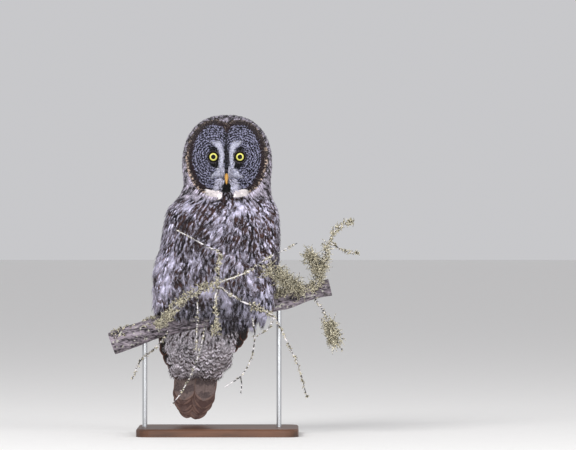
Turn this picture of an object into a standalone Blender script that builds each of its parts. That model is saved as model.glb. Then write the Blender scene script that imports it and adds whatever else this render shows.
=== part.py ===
"""A great grey owl, life size, perched on a short cut length of branch over a plain display stand.

Metres, +Z up. The owl looks along -Y. The origin is the middle of the stand's underside.
The coat is one surface, coat_point(z, phi, h): z is the height, phi the angle round the bird
from the front (0) over its left side (90, at +X) to the back (180), and h the height over
the coat's own surface. Wings, ruff and body feathers are placed on it by these three values.
"""

import math

import bmesh
import bpy
import numpy as np

MM = 0.001
GAP = 0.3 * MM

# Stand
BASE_LENGTH = 330 * MM
BASE_DEPTH = 210 * MM
BASE_HEIGHT = 16 * MM
BASE_CORNER = 26 * MM
BASE_EDGE = 2.5 * MM
ROD_RADIUS = 5 * MM
ROD_SIDES = 14
ROD_SEAT = 8 * MM
ROD_PLACES = {"stand_rod_left": -150 * MM, "stand_rod_right": 125 * MM}

# Owl, driving sizes
TAIL_TIP_Z = 28 * MM
CROWN_Z = 654 * MM
HEAD_MID_Z = 549 * MM
HEAD_X = 19 * MM
EYE_Z = 568 * MM
EYE_SPREAD = 27 * MM
EYE_RADIUS = 10.5 * MM
EYE_OPENING = 8.4 * MM
LID_RADIUS = 1.9 * MM
NECK_TOP_Z = 492 * MM
NECK_FOOT_Z = 470 * MM
TORSO_OVER_PERCH = 41 * MM

# The coat's level sections: height, middle in x and y, half width, reach to the front and to the back
COAT_LEVELS = np.array(
    [
        # z, x, y, half width, front, back
        (150, -37, 50, 72, 20, 46),
        (180, -29, 40, 92, 40, 60),
        (225, -13, 18, 112, 56, 80),
        (256, -9, 8, 116, 68, 90),
        (297, -8, 2, 117, 89, 100),
        (338, -5, 0, 118, 101, 107),
        (379, 4, 0, 115, 106, 109),
        (420, 7, -1, 112, 104, 107),
        (461, 10, -4, 108, 95, 99),
        (491, 16, -8, 94, 82, 88),
        (512, 19, -10, 89, 80, 86),
        (549, 19, -10, 92, 84, 88),
    ]
) * MM
DOME_POWER_SIDE = 2.3
DOME_POWER_FRONT = 3.2
DOME_POWER_BACK = 2.2
SECTION_POWER_FRONT = (3.6, 2.5)
SECTION_POWER_HEIGHTS = (270 * MM, 370 * MM)
SECTION_POWER_BACK = 2.15

# Facial disc
DISC_HALF_WIDTH = 80 * MM
DISC_HALF_HEIGHT = 70 * MM
DISC_MID_DROP = 1 * MM
DISH_REACH = (42 * MM, 60 * MM)
DISH_MID = (32 * MM, -3 * MM)
DISH_DEPTH = 10 * MM
RIDGE_HEIGHT = 6 * MM
RIDGE_HALF_WIDTH = 9 * MM
RIDGE_REACH = 52 * MM
RIM_HEIGHT = 2.5 * MM
RIM_SHARE = 0.08
RUFF_LOCKS = 18

# Perch: middle line in x and z, and radius, from the photo's branch, left end to right end
PERCH_LINE = np.array(
    [
        # x, z, radius
        (-218, 187, 23.5),
        (-150, 211, 23),
        (-107, 224.8, 22),
        (-63.6, 234.2, 22),
        (-18.5, 243, 22),
        (45, 257, 21.5),
        (107, 271, 20.5),
        (146, 279, 19.5),
        (168, 286, 18.5),
        (209, 297.5, 17),
        (230, 302.5, 17.5),
    ]
) * MM
PERCH_STATIONS = 20
PERCH_SIDES = 12
KNOTS = (
    # Place along the perch, direction round it from the front in degrees, and reach
    (164 * MM, -42, 31 * MM),
    (-186 * MM, 205, 33 * MM),
)

# Vanes: thickness, room to the neighbour, and how wide each is at its stations from root to tip
VANE_THICKNESS = 0.9 * MM
VANE_CLEARANCE = 0.45 * MM
FLIGHT = {"stations": (0, 0.2, 0.6, 0.9, 1), "widths": (0.55, 0.9, 1, 0.72, 0.24)}
COVERT = {"stations": (0, 0.35, 0.75, 1), "widths": (0.6, 1, 0.86, 0.26)}
LOCK = {"stations": (0, 0.55, 1), "widths": (0.8, 1, 0.3)}

# Wings
WING_SINK = 3 * MM
WING_SKIN = 4 * MM
WING_TOP_Z = 466 * MM
WING_FOOT_Z = 258 * MM
WING_FRONT_ANGLE = 60
WING_BACK_ANGLE = 167
WING_TIPS = {
    # Heights of the front and the back primary's tip, and how far primaries and secondaries
    # lean to the back round the bird, in degrees
    "wing_left": ((222 * MM, 171 * MM), 0, 9),
    "wing_right": ((203 * MM, 163 * MM), -16, 1),
}

# Belly feathers over the perch, lower tier first: how many, first and last angle, root over the
# hem, hang, and height over the coat at root, a fifth along and tip
BELLY_TIERS = (
    (7, -34, 68, 22 * MM, 62 * MM, (-2.5 * MM, 1.2 * MM, 0.5 * MM)),
    (6, -40, 48, 58 * MM, 64 * MM, (-2 * MM, 2.4 * MM, 5 * MM)),
)
BELLY_FEATHER_WIDTH = 30 * MM
BELLY_SLOPE = 0.08

# Vent and under-tail coverts
VENT_LEVELS = np.array(
    [
        # z, middle x, half width, front y, back y
        (300, -8, 78, 36, 57),
        (262, -14, 84, 35, 58),
        (225, -30, 84, 34, 61),
        (184, -39, 76, 34, 65),
        (156, -43, 62, 40, 68),
        (134, -45, 46, 49, 70),
    ]
) * MM
VENT_TIER_ROOTS = (166 * MM, 192 * MM, 222 * MM)
VENT_FEATHER_LENGTH = 46 * MM
VENT_FEATHER_HALF_WIDTH = 20 * MM

# Tail
TAIL_ROOT = (-20 * MM, 75 * MM, 262 * MM)
TAIL_TIP = (-55 * MM, 88 * MM, TAIL_TIP_Z)
RECTRICES = 10
TAIL_HALF_WIDTHS = (38 * MM, 43 * MM, 38 * MM)
TAIL_ROUNDING = 0.2
RECTRIX_WIDTH = 26 * MM
RECTRIX_STEP = 1.3 * MM
RUMP_LEVELS = (
    # z, half width, middle y, half depth
    (310 * MM, 34 * MM, 82 * MM, 12 * MM),
    (262 * MM, 40 * MM, 81 * MM, 12 * MM),
    (225 * MM, 42 * MM, 80 * MM, 10 * MM),
    (180 * MM, 44 * MM, 78 * MM, 6 * MM),
)

# Bill, its heights from the eyes' level
BILL_TOP = -27 * MM
BILL_TIP = -53 * MM
BILL_REACH = 9 * MM
BILL_HALF_WIDTH = 6.2 * MM
BILL_BEND = math.radians(104)
NOSTRIL_RADIUS = 0.9 * MM

# Feet
LEG_PLACES = {"left": 38 * MM, "right": -48 * MM}
LEG_LEVELS = (
    # Height over the foot's pad, half width, half depth
    (0, 13 * MM, 12 * MM),
    (8 * MM, 19 * MM, 20 * MM),
    (40 * MM, 24 * MM, 25 * MM),
)
TOE_RADIUS = 6.5 * MM
TOES = {
    # Place along the perch from the foot's middle, and whether it points to the front or the back
    "toe_inner": (9 * MM, 1),
    "toe_middle": (-9 * MM, 1),
    "toe_outer": (-10 * MM, -1),
    "toe_hind": (8 * MM, -1),
}
TOE_ANGLES = (6, 64)
CLAW_ANGLES = (66, 118)
CLAW_RADIUS = 3.75 * MM

# Twigs
PHOTO_SCALE = 2.05 * MM
PHOTO_MID_X = 218
PHOTO_TAIL_TIP_Y = 421
TWIG_ROOT_RADIUS = 2.2 * MM
TWIG_TIP_RADIUS = 0.8 * MM
TWIGS = {
    # Places across and down the photo, in pixels, and how far each stands to the front, in mm
    "twig_main": [
        (158, 326, 20), (166, 318, 60), (180, 303, 108), (198, 291, 131),
        (216, 283, 137), (246, 272, 134), (266, 259, 128), (297, 243, 118),
    ],
    "twig_upper": [
        (218, 284, 137), (219, 270, 141), (222, 255, 139), (206, 245, 137), (190, 236, 133), (178, 230, 126),
    ],
    "twig_long": [
        (219, 285, 136), (231, 293, 124), (244, 301, 108), (257, 306, 98),
        (271, 313, 92), (282, 330, 86), (290, 347, 82), (298, 364, 78), (307, 396, 74),
    ],
    "twig_bent": [
        (249, 306, 15), (252, 316, 44), (255, 334, 56), (253, 352, 60), (243, 373, 60), (225, 386, 60),
    ],
    "twig_left": [(168, 330, 14), (165, 337, 36), (154, 349, 44), (142, 359, 46), (133, 378, 46)],
    "twig_tail": [
        (206, 322, 14), (204, 334, 34), (199, 354, 40), (191, 375, 42), (178, 397, 42), (171, 405, 42),
    ],
    "twig_right": [
        (309, 292, 8), (316, 284, 22), (322, 266, 34), (326, 250, 38), (336, 229, 40), (352, 221, 42),
    ],
    "twig_hanging": [
        (313, 294, 8), (317, 301, 26), (324, 312, 34), (328, 324, 37), (334, 338, 38), (343, 351, 38),
    ],
}

FINISHES = {
    # Colour in linear RGB, roughness, metallic
    "plumage": ((0.30, 0.27, 0.30), 0.75, 0),
    "face": ((0.33, 0.32, 0.36), 0.75, 0),
    "flight": ((0.16, 0.10, 0.07), 0.6, 0),
    "iris": ((0.80, 0.72, 0.10), 0.1, 0),
    "bill": ((0.68, 0.42, 0.07), 0.4, 0),
    "claw": ((0.03, 0.025, 0.025), 0.35, 0),
    "bark": ((0.20, 0.16, 0.15), 0.9, 0),
    "steel": ((0.55, 0.55, 0.56), 0.35, 1),
    "wood": ((0.10, 0.055, 0.03), 0.5, 0),
}
SHARP_EDGE = math.radians(40)


def smooth(keys, values, at):
    """Values at heights between the keys, on a cubic through them whose slopes never overshoot."""
    keys = np.asarray(keys, float)
    values = np.asarray(values, float)
    run = np.diff(keys)
    rise = np.diff(values) / run
    slope = np.zeros(len(keys))
    inner = rise[:-1] * rise[1:] > 0
    mean = 2 * rise[:-1] * rise[1:] / np.where(inner, rise[:-1] + rise[1:], 1)
    slope[1:-1] = np.where(inner, mean, 0)
    slope[0], slope[-1] = rise[0], rise[-1]
    at = np.clip(at, keys[0], keys[-1])
    i = np.clip(np.searchsorted(keys, at, side="right") - 1, 0, len(run) - 1)
    t = (at - keys[i]) / run[i]
    a, b = values[i], values[i + 1]
    return (
        a * (1 + 2 * t) * (1 - t) ** 2
        + slope[i] * run[i] * t * (1 - t) ** 2
        + b * t * t * (3 - 2 * t)
        - slope[i + 1] * run[i] * t * t * (1 - t)
    )


def ramp(low, high, at):
    """0 below low, 1 above high, and a smooth rise between them."""
    t = np.clip((at - low) / (high - low), 0, 1)
    return t * t * (3 - 2 * t)


def perch_middle(x):
    """Height of the perch's middle line over the stand's underside, at x."""
    return smooth(PERCH_LINE[:, 0], PERCH_LINE[:, 1], x)


def perch_radius(x):
    return smooth(PERCH_LINE[:, 0], PERCH_LINE[:, 2], x)


def coat_section(z):
    """Middle x, middle y, half width, front reach and back reach of the coat at height z."""
    keys = COAT_LEVELS[:, 0]
    x, y, side, front, back = (smooth(keys, COAT_LEVELS[:, k], z) for k in range(1, 6))
    up = np.clip((z - HEAD_MID_Z) / (CROWN_Z - HEAD_MID_Z), 0, 0.99999)
    side = side * (1 - up**DOME_POWER_SIDE) ** (1 / DOME_POWER_SIDE)
    front = front * (1 - up**DOME_POWER_FRONT) ** (1 / DOME_POWER_FRONT)
    back = back * (1 - up**DOME_POWER_BACK) ** (1 / DOME_POWER_BACK)
    return x, y, side, front, back


def front_power(z):
    """The belly's sections are boxier than the breast's and the head's."""
    low, high = SECTION_POWER_FRONT
    return low + (high - low) * ramp(*SECTION_POWER_HEIGHTS, z)


def face_relief(x, z):
    """How far the face stands forward of the plain coat, x from the bill's line, z from the eyes' level."""
    across = (np.abs(x) - DISH_MID[0]) / DISH_REACH[0]
    up = (z - DISH_MID[1]) / DISH_REACH[1]
    dish = -DISH_DEPTH * np.clip(1 - across**2 - up**2, 0, 1) ** 1.5
    ridge = RIDGE_HEIGHT * np.exp(-((x / RIDGE_HALF_WIDTH) ** 2)) * np.clip(1 - (z / RIDGE_REACH) ** 2, 0, 1)
    share = np.hypot(x / DISC_HALF_WIDTH, (z + DISC_MID_DROP) / DISC_HALF_HEIGHT)
    rim = RIM_HEIGHT * np.exp(-(((share - 0.97) / RIM_SHARE) ** 2))
    return dish + ridge + rim


def coat_surface(z, phi):
    """The coat's own surface: a level superellipse at each height, with the face's relief in front."""
    z, phi = np.broadcast_arrays(np.asarray(z, float), np.radians(np.asarray(phi, float)))
    x0, y0, side, front, back = coat_section(z)
    s, c = np.sin(phi), np.cos(phi)
    ahead = c > 0
    power = np.where(ahead, front_power(z), SECTION_POWER_BACK)
    reach = np.where(ahead, front, back)
    x = side * np.sign(s) * np.abs(s) ** (2 / power)
    y = -reach * np.sign(c) * np.abs(c) ** (2 / power)
    faces_front = np.clip(c * 2.2, 0, 1) * ramp(NECK_TOP_Z - 6 * MM, NECK_TOP_Z + 12 * MM, z)
    relief = face_relief(x, z - EYE_Z) * faces_front
    return np.stack([x0 + x, y0 + y - relief, z], axis=-1)


def coat_frame(z, phi):
    """Surface point, tangent round the bird for each radian, and outward normal."""
    dz, dphi = 0.4 * MM, 0.25
    point = coat_surface(z, phi)
    top = np.minimum(np.asarray(z, float) + dz, CROWN_Z - 0.2 * MM)
    low = top - 2 * dz
    around = coat_surface(z, np.asarray(phi) + dphi) - coat_surface(z, np.asarray(phi) - dphi)
    up = coat_surface(top, phi) - coat_surface(low, phi)
    normal = np.cross(around, up)
    normal = normal / np.linalg.norm(normal, axis=-1, keepdims=True)
    return point, around / np.radians(2 * dphi), normal


def coat_point(z, phi, h):
    """A point at height h over the coat's surface."""
    point, _, normal = coat_frame(z, phi)
    return point + np.asarray(h)[..., None] * normal


def angle_of(x, z):
    """The coat angle in front where the coat stands x to the side of its middle at height z."""
    _, _, side, _, _ = coat_section(z)
    share = np.clip(np.abs(x) / side, 0, 0.9999)
    return np.sign(x) * np.degrees(np.arcsin(share ** (front_power(z) / 2)))


def finish_material(name, finish):
    """A node's own Principled BSDF, in one of the finishes."""
    colour, roughness, metallic = FINISHES[finish]
    made = bpy.data.materials.new(f"{name}_{finish}")
    made.use_nodes = True
    shader = made.node_tree.nodes["Principled BSDF"]
    shader.inputs["Base Color"].default_value = (*colour, 1)
    shader.inputs["Roughness"].default_value = roughness
    shader.inputs["Metallic"].default_value = metallic
    return made


def object_from(name, points, faces, finish=None):
    """An object of this closed mesh, its faces turned outward. Cutters and joining pieces need no finish."""
    mesh = bpy.data.meshes.new(name)
    mesh.from_pydata([tuple(p) for p in points], [], [tuple(int(i) for i in f) for f in faces])
    shape = bmesh.new()
    shape.from_mesh(mesh)
    bmesh.ops.recalc_face_normals(shape, faces=shape.faces)
    shape.to_mesh(mesh)
    shape.free()
    if finish:
        mesh.materials.append(finish_material(name, finish))
    made = bpy.data.objects.new(name, mesh)
    bpy.context.scene.collection.objects.link(made)
    return made


def loft(rings):
    """Points and triangles of a closed body through rings of points, each end closed by a fan on its middle."""
    rings = [np.asarray(r, float) for r in rings]
    count = len(rings[0])
    points = np.concatenate([*rings, rings[0].mean(0)[None], rings[-1].mean(0)[None]])
    faces = []
    for i in range(len(rings) - 1):
        for j in range(count):
            a, b = i * count + j, i * count + (j + 1) % count
            faces += [(a, b, b + count), (a, b + count, a + count)]
    low, high, last = len(points) - 2, len(points) - 1, (len(rings) - 1) * count
    for j in range(count):
        faces.append((low, (j + 1) % count, j))
        faces.append((high, last + j, last + (j + 1) % count))
    return points, faces


def tube(path, radii, sides):
    """A closed tube along a path. Each ring turns as little as it can from the one before."""
    path = np.asarray(path, float)
    heading = np.gradient(path, axis=0)
    heading = heading / np.linalg.norm(heading, axis=1, keepdims=True)
    reference = np.array([0.0, 1.0, 0.0])
    if abs(heading[0] @ reference) > 0.9:
        reference = np.array([1.0, 0.0, 0.0])
    rings = []
    for point, ahead, radius in zip(path, heading, np.broadcast_to(radii, len(path))):
        side = np.cross(ahead, reference)
        side = side / np.linalg.norm(side)
        reference = np.cross(side, ahead)
        turn = np.arange(sides) * 2 * math.pi / sides
        rings.append(point + radius * (np.cos(turn)[:, None] * side + np.sin(turn)[:, None] * reference))
    return loft(rings)


def plate(upper, lower):
    """A closed thin plate between two grids of points, both faces split into triangles alike."""
    rows, columns = upper.shape[:2]
    points = np.concatenate([upper.reshape(-1, 3), lower.reshape(-1, 3)])
    under = rows * columns
    faces = []
    for i in range(rows - 1):
        for j in range(columns - 1):
            a = i * columns + j
            b, c, d = a + 1, a + columns + 1, a + columns
            faces += [(a, b, c), (a, c, d)]
            faces += [(under + a, under + c, under + b), (under + a, under + d, under + c)]
    edge = list(range(columns))
    edge += [i * columns + columns - 1 for i in range(1, rows)]
    edge += [(rows - 1) * columns + j for j in range(columns - 2, -1, -1)]
    edge += [i * columns for i in range(rows - 2, 0, -1)]
    for a, b in zip(edge, edge[1:] + edge[:1]):
        faces += [(b, a, under + a), (b, under + a, under + b)]
    return points, faces


def coat_vane(root, tip, width, rise, slope=0.0, form=COVERT):
    """A feather on the coat from root (z, phi) to tip (z, phi).

    rise gives its height over the coat at each share of its length: root, a fifth along, tip.
    slope tilts it about its own length, so that neighbours overlap without touching.
    """
    s = np.array(form["stations"])[:, None]
    z = root[0] + (tip[0] - root[0]) * s
    phi = root[1] + (tip[1] - root[1]) * s
    across = np.array([-0.5, 0.5]) * width * np.array(form["widths"])[:, None]
    _, around, _ = coat_frame(z, phi)
    radius = np.linalg.norm(around, axis=-1)
    spread = phi + np.degrees(across / radius)
    height = np.interp(s, [0, 0.2, 1], rise) - slope * across * ramp(0, 0.25, s)
    half = VANE_THICKNESS / 2 * np.interp(s, [0, 0.9, 1], [1.3, 1.0, 0.6])
    z = np.broadcast_to(z, spread.shape)
    return plate(coat_point(z, spread, height + half), coat_point(z, spread, height - half))


def fuse(name, pieces, finish):
    """One closed body from overlapping closed pieces."""
    return join(object_from(name, *pieces[0], finish), pieces[1:])


def join(made, pieces):
    """Joins closed pieces to an object, and keeps only its largest surface."""
    group = bpy.data.collections.new("joining")
    others = [object_from("joining_piece", *piece) for piece in pieces]
    for other in others:
        bpy.context.scene.collection.objects.unlink(other)
        group.objects.link(other)
    union = made.modifiers.new("join", "BOOLEAN")
    union.operation = "UNION"
    union.operand_type = "COLLECTION"
    union.collection = group
    bake(made)
    for other in others:
        bpy.data.objects.remove(other)
    bpy.data.collections.remove(group)
    keep_largest(made)
    return made


def bake(made):
    """Applies an object's modifiers to its mesh."""
    bpy.context.view_layer.update()
    evaluated = made.evaluated_get(bpy.context.evaluated_depsgraph_get())
    mesh = bpy.data.meshes.new_from_object(evaluated)
    made.modifiers.clear()
    made.data = mesh


def keep_largest(made):
    """Drops every closed surface of the mesh but the one with the most volume."""
    shape = bmesh.new()
    shape.from_mesh(made.data)
    bmesh.ops.remove_doubles(shape, verts=shape.verts, dist=0.0002 * MM)
    bmesh.ops.triangulate(shape, faces=shape.faces)
    left = set(shape.faces)
    islands = []
    while left:
        island, edge = [], [left.pop()]
        while edge:
            face = edge.pop()
            island.append(face)
            near = {g for e in face.edges for g in e.link_faces if g in left}
            left -= near
            edge += near
        volume = sum(f.verts[0].co.dot(f.verts[1].co.cross(f.verts[2].co)) for f in island)
        islands.append((volume, island))
    islands.sort(key=lambda pair: pair[0])
    loose = [f for _, island in islands[:-1] for f in island]
    bmesh.ops.delete(shape, geom=loose, context="FACES")
    shape.to_mesh(made.data)
    shape.free()


def cut(made, cutters):
    """Cuts closed bodies away from an object and removes them."""
    for points, faces in cutters:
        cutter = object_from("cutter", points, faces)
        difference = made.modifiers.new("cut", "BOOLEAN")
        difference.operation = "DIFFERENCE"
        difference.object = cutter
        bake(made)
        bpy.data.objects.remove(cutter)
    keep_largest(made)
    return made


def slanted_block(rise, height):
    """A block that starts at a given height over the perch's middle line and follows its slope."""
    x = np.array([-300, 300]) * MM
    low = perch_line_height(x) + rise
    corners = []
    for level in (0, height):
        for xi, zi in zip(x, low):
            corners += [(xi, -200 * MM, zi + level), (xi, 200 * MM, zi + level)]
    order = [(0, 1, 3, 2), (4, 6, 7, 5), (0, 4, 5, 1), (2, 3, 7, 6), (0, 2, 6, 4), (1, 5, 7, 3)]
    return np.array(corners), order


def perch_line_height(x):
    """The straight line through the perch's middle under the two feet."""
    left, right = LEG_PLACES["right"], LEG_PLACES["left"]
    low, high = perch_middle(left), perch_middle(right)
    return low + (high - low) * (x - left) / (right - left)


def coat_body(low, high, levels, sides):
    """The coat between two heights as a closed body, its levels closer together near the crown."""
    phi = np.arange(sides) * 360 / sides
    share = np.linspace(0, 1, levels)
    if high > HEAD_MID_Z:
        share = np.sin(share * math.pi / 2) ** 0.9
    return loft([coat_surface(low + (high - low) * t, phi) for t in share])


def ball(middle, radius, rings=8, sides=14, stretch=(1, 1, 1)):
    """A closed ball, its poles to the front and back, stretched in x, y and z."""
    made = []
    for k in range(1, rings):
        polar = math.pi * k / rings
        turn = np.arange(sides) * 2 * math.pi / sides
        flat = math.sin(polar)
        ring = np.stack(
            [np.cos(turn) * flat, np.full(sides, -math.cos(polar)), np.sin(turn) * flat], axis=-1
        )
        made.append(np.asarray(middle) + radius * ring * np.asarray(stretch))
    return loft(made)


def wing_front_angle(z, side):
    """The coat angle of the folded wing's front edge. It sweeps back over the perch's top."""
    flank = coat_section(z)[0] + side * 112 * MM
    over = z - perch_middle(flank) - perch_radius(flank)
    near_perch = WING_FRONT_ANGLE + 56 * (1 - ramp(-4 * MM, 62 * MM, over))
    shoulder = 34 * ramp(WING_TOP_Z - 38 * MM, WING_TOP_Z, z)
    return near_perch + shoulder


def wing_back_angle(z):
    return WING_BACK_ANGLE - 52 * ramp(WING_TOP_Z - 45 * MM, WING_TOP_Z, z)


def wing_core(side, foot_z, sink, skin, grow=0.0):
    """The folded arm and hand: a shell on the coat, from sink below it to skin over it."""
    rows, columns = 9, 9
    z = np.linspace(foot_z, WING_TOP_Z, rows)[:, None]
    share = np.linspace(0, 1, columns)[None, :]
    first, last = wing_front_angle(z, side), wing_back_angle(z)
    phi = first + (last - first) * share
    phi[:, 0] -= math.degrees(2 * grow / (100 * MM))
    phi[:, -1] += math.degrees(2 * grow / (100 * MM))
    z = np.broadcast_to(z, phi.shape).copy()
    z[0] -= grow
    z[-1] += grow
    phi = side * phi
    rounding = np.sin(math.pi * np.clip(share, 0.08, 0.92)) ** 0.5
    outer = coat_point(z, phi, skin * rounding)
    inner = coat_point(z, phi, np.full(phi.shape, -sink))
    return plate(outer, inner) if side > 0 else plate(outer[:, ::-1], inner[:, ::-1])


def wing_tier(side, count, root_z, tip_z, first, last, width, rise, lean, form=COVERT):
    """One tier of feathers from the wing's front edge to its back. Feathers nearer the back lie on top."""
    made = []
    pitch = (last - first) / (count - 1)
    pitch_length = abs(pitch) * math.pi / 180 * 110 * MM
    slope = (VANE_THICKNESS + VANE_CLEARANCE) / pitch_length
    for i in range(count):
        share = i / (count - 1)
        phi = first + pitch * i
        root = root_z[0] + (root_z[1] - root_z[0]) * share
        tip = tip_z[0] + (tip_z[1] - tip_z[0]) * share + 2.5 * MM * math.sin(2.4 * i + side)
        made.append(coat_vane((root, side * phi), (tip, side * (phi + lean)), width, rise, side * slope, form))
    return made


def wing_foot_z(side):
    """The lower end of the wing's core, higher on the side where the perch rises."""
    return WING_FOOT_Z + 0.5 * (perch_middle(side * 110 * MM) - perch_middle(-110 * MM))


def build_wing(name, side):
    """A folded wing: core, primaries, secondaries and two tiers of coverts."""
    foot_z = wing_foot_z(side)
    tips, primary_lean, secondary_lean = WING_TIPS[name]
    primaries = wing_tier(
        side, 4, (foot_z + 22 * MM, foot_z + 18 * MM), tips, 122, 140,
        22 * MM, (-0.6 * MM, 0.4 * MM, 0.8 * MM), primary_lean, FLIGHT,
    )
    secondaries = wing_tier(
        side, 5, (352 * MM, 352 * MM), (236 * MM, 190 * MM), 104, 160,
        38 * MM, (1 * MM, 6 * MM, 8 * MM), secondary_lean, FLIGHT,
    )
    greater_coverts = wing_tier(
        side, 6, (404 * MM, 410 * MM), (318 * MM, 300 * MM), 74, 159,
        42 * MM, (1 * MM, 6 * MM, 11.5 * MM), 2,
    )
    lesser_coverts = wing_tier(
        side, 5, (440 * MM, 438 * MM), (374 * MM, 362 * MM), 78, 138,
        38 * MM, (1 * MM, 5.6 * MM, 11.5 * MM), 2,
    )
    core = wing_core(side, foot_z, WING_SINK, WING_SKIN)
    return fuse(name, [core, *primaries, *secondaries, *greater_coverts, *lesser_coverts], "plumage")


def wing_cutter(side):
    """The room that the torso leaves for a wing's core."""
    return wing_core(side, wing_foot_z(side), WING_SINK + 3 * GAP, 12 * MM, grow=2.5 * GAP)


def build_torso():
    """Breast, belly and back between neck and perch, with the long belly feathers over the perch."""
    made = object_from("torso", *coat_body(236 * MM, NECK_FOOT_Z - GAP, 10, 32), "plumage")
    below_hem = slanted_block(TORSO_OVER_PERCH - 150 * MM, 150 * MM)
    cut(made, [wing_cutter(1), wing_cutter(-1), below_hem])
    feathers = []
    for tier, (count, first, last, root_up, hang, rise) in enumerate(BELLY_TIERS):
        for i in range(count):
            phi = first + (last - first) * i / (count - 1)
            hem = perch_line_height(coat_surface(300 * MM, phi)[0]) + TORSO_OVER_PERCH
            root = hem + root_up
            fall = hang * ramp(-60, 20, phi) if tier == 0 else hang
            tip = root - fall - 3 * MM * math.sin(1.7 * i + tier)
            slope = BELLY_SLOPE if phi < 14 else -BELLY_SLOPE
            feathers.append(coat_vane((root, phi), (tip, phi), BELLY_FEATHER_WIDTH, rise, slope))
    return join(made, feathers)


def build_vent():
    """The vent and under-tail coverts, behind the perch and in front of the tail."""
    turn = np.arange(28) * 2 * math.pi / 28
    s, c = np.sin(turn), np.cos(turn)
    rings = []
    for z, x, half, front, back in VENT_LEVELS:
        ring_x = x + half * np.sign(s) * np.abs(s) ** 0.8
        ring_y = (front + back) / 2 - (back - front) / 2 * np.sign(c) * np.abs(c) ** 0.8
        rings.append(np.stack([ring_x, ring_y, np.full(len(turn), z)], axis=-1))
    pieces = [loft(rings)]
    for tier, root_z in enumerate(VENT_TIER_ROOTS):
        for i in range(4):
            lane = -0.8 + 0.52 * i + 0.08 * (tier % 2)
            length = VENT_FEATHER_LENGTH + 3 * MM * math.cos(3 * i + tier)
            pieces.append(vent_vane(root_z, length, lane))
    made = fuse("under_tail_coverts", pieces, "plumage")
    return cut(made, [slanted_block(TORSO_OVER_PERCH - GAP, 100 * MM)])


def vent_vane(root_z, length, lane):
    """One under-tail covert: it hangs down the vent's front at a share, lane, of its half width."""
    levels = VENT_LEVELS[::-1]
    rows = []
    for s, share in zip(COVERT["stations"], COVERT["widths"]):
        z = root_z - length * s
        middle, half, front = (smooth(levels[:, 0], levels[:, k], z) for k in (1, 2, 3))
        curve = (1 - (1 - abs(lane) ** 2.5) ** 0.4) * 12 * MM
        lift = np.interp(s, [0, 0.4, 1], [-3 * MM, 1.6 * MM, 3 * MM])
        x = middle + lane * half
        width = VENT_FEATHER_HALF_WIDTH * share
        rows.append([(x + w * width, front + curve - lift + VANE_THICKNESS * w, z) for w in (-1, 1)])
    front_face = np.array(rows)
    return plate(front_face, front_face + np.array([0, VANE_THICKNESS, 0]))


def tail_axes():
    """Unit directions down the tail, across it and out of its front, and its length."""
    down = np.array(TAIL_TIP) - np.array(TAIL_ROOT)
    length = np.linalg.norm(down)
    down = down / length
    across = np.array([1.0, 0, 0]) - down[0] * down
    across = across / np.linalg.norm(across)
    return down, across, np.cross(down, across), length


def rectrix(side, k):
    """The k-th tail feather from the middle, on the left (1) or right (-1), behind the one outside it."""
    down, across, out, length = tail_axes()
    lane = (k + 0.5) / (RECTRICES // 2)
    start = 0.26 * length
    end = length * (1 - TAIL_ROUNDING * lane**2)
    rows = []
    for s, share in zip(FLIGHT["stations"], FLIGHT["widths"]):
        along = start + (end - start) * s
        middle = side * lane * np.interp(along / length, [0.25, 0.6, 1], TAIL_HALF_WIDTHS)
        row = []
        for w in (-1, 1):
            half = w * RECTRIX_WIDTH / 2 * share
            sag = 4 * MM * ((middle + half) / (50 * MM)) ** 2
            step = RECTRIX_STEP * (k + 0.5 * (side > 0)) - 0.05 * side * half * ramp(0.0, 0.25, s)
            row.append(np.array(TAIL_ROOT) + down * along + across * (middle + half) + out * (step - sag))
        rows.append(row)
    front = np.array(rows)
    return plate(front, front - out * VANE_THICKNESS)


def build_tail():
    """Rump and tail feathers. The middle pair lies at the back of the others."""
    turn = np.arange(18) * 2 * math.pi / 18
    down, _, _, _ = tail_axes()
    rings = []
    for z, half, middle_y, depth in RUMP_LEVELS:
        x = TAIL_ROOT[0] + (z - TAIL_ROOT[2]) * down[0] / down[2]
        ring = [x + half * np.sin(turn), middle_y - depth * np.cos(turn), np.full(len(turn), z)]
        rings.append(np.stack(ring, axis=-1))
    feathers = [rectrix(side, k) for side in (1, -1) for k in range(RECTRICES // 2)]
    made = fuse("tail", [loft(rings), *feathers], "flight")
    return cut(made, [slanted_block(TORSO_OVER_PERCH - GAP, 100 * MM)])


def build_neck():
    return object_from("neck", *coat_body(NECK_FOOT_Z, NECK_TOP_Z - GAP, 3, 36), "plumage")


def face_vane(start, end, width, rise, slope):
    """A lock on the face, from start to end, each x from the bill's line and z from the eyes' level."""
    start, end = np.array(start), np.array(end)
    s = np.array(LOCK["stations"])[:, None]
    along = (end - start) / np.linalg.norm(end - start)
    across = np.array([-0.5, 0.5]) * width * np.array(LOCK["widths"])[:, None]
    x = HEAD_X + start[0] + (end - start)[0] * s - along[1] * across
    z = EYE_Z + start[1] + (end - start)[1] * s + along[0] * across
    height = np.interp(s, [0, 0.2, 1], rise) - slope * across * ramp(0, 0.25, s)
    half = VANE_THICKNESS / 2 * np.interp(s, [0, 0.9, 1], [1.3, 1.0, 0.6])
    phi = angle_of(x - coat_section(z)[0], z)
    return plate(coat_point(z, phi, height + half), coat_point(z, phi, height - half))


def ruff_locks():
    """The disc's rim: short broad locks all round but for the chin, each over its neighbour."""
    made = []
    for i in range(RUFF_LOCKS):
        turn = 2 * math.pi * (i + 0.5) / RUFF_LOCKS
        across, up = math.sin(turn), math.cos(turn)
        if up > -0.86:
            ends = [
                (across * DISC_HALF_WIDTH * d, up * DISC_HALF_HEIGHT * d - DISC_MID_DROP) for d in (0.86, 1.05)
            ]
            made.append(face_vane(*ends, 30 * MM, (-2 * MM, 1 * MM, 4.2 * MM), 0.06))
    return made


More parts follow.
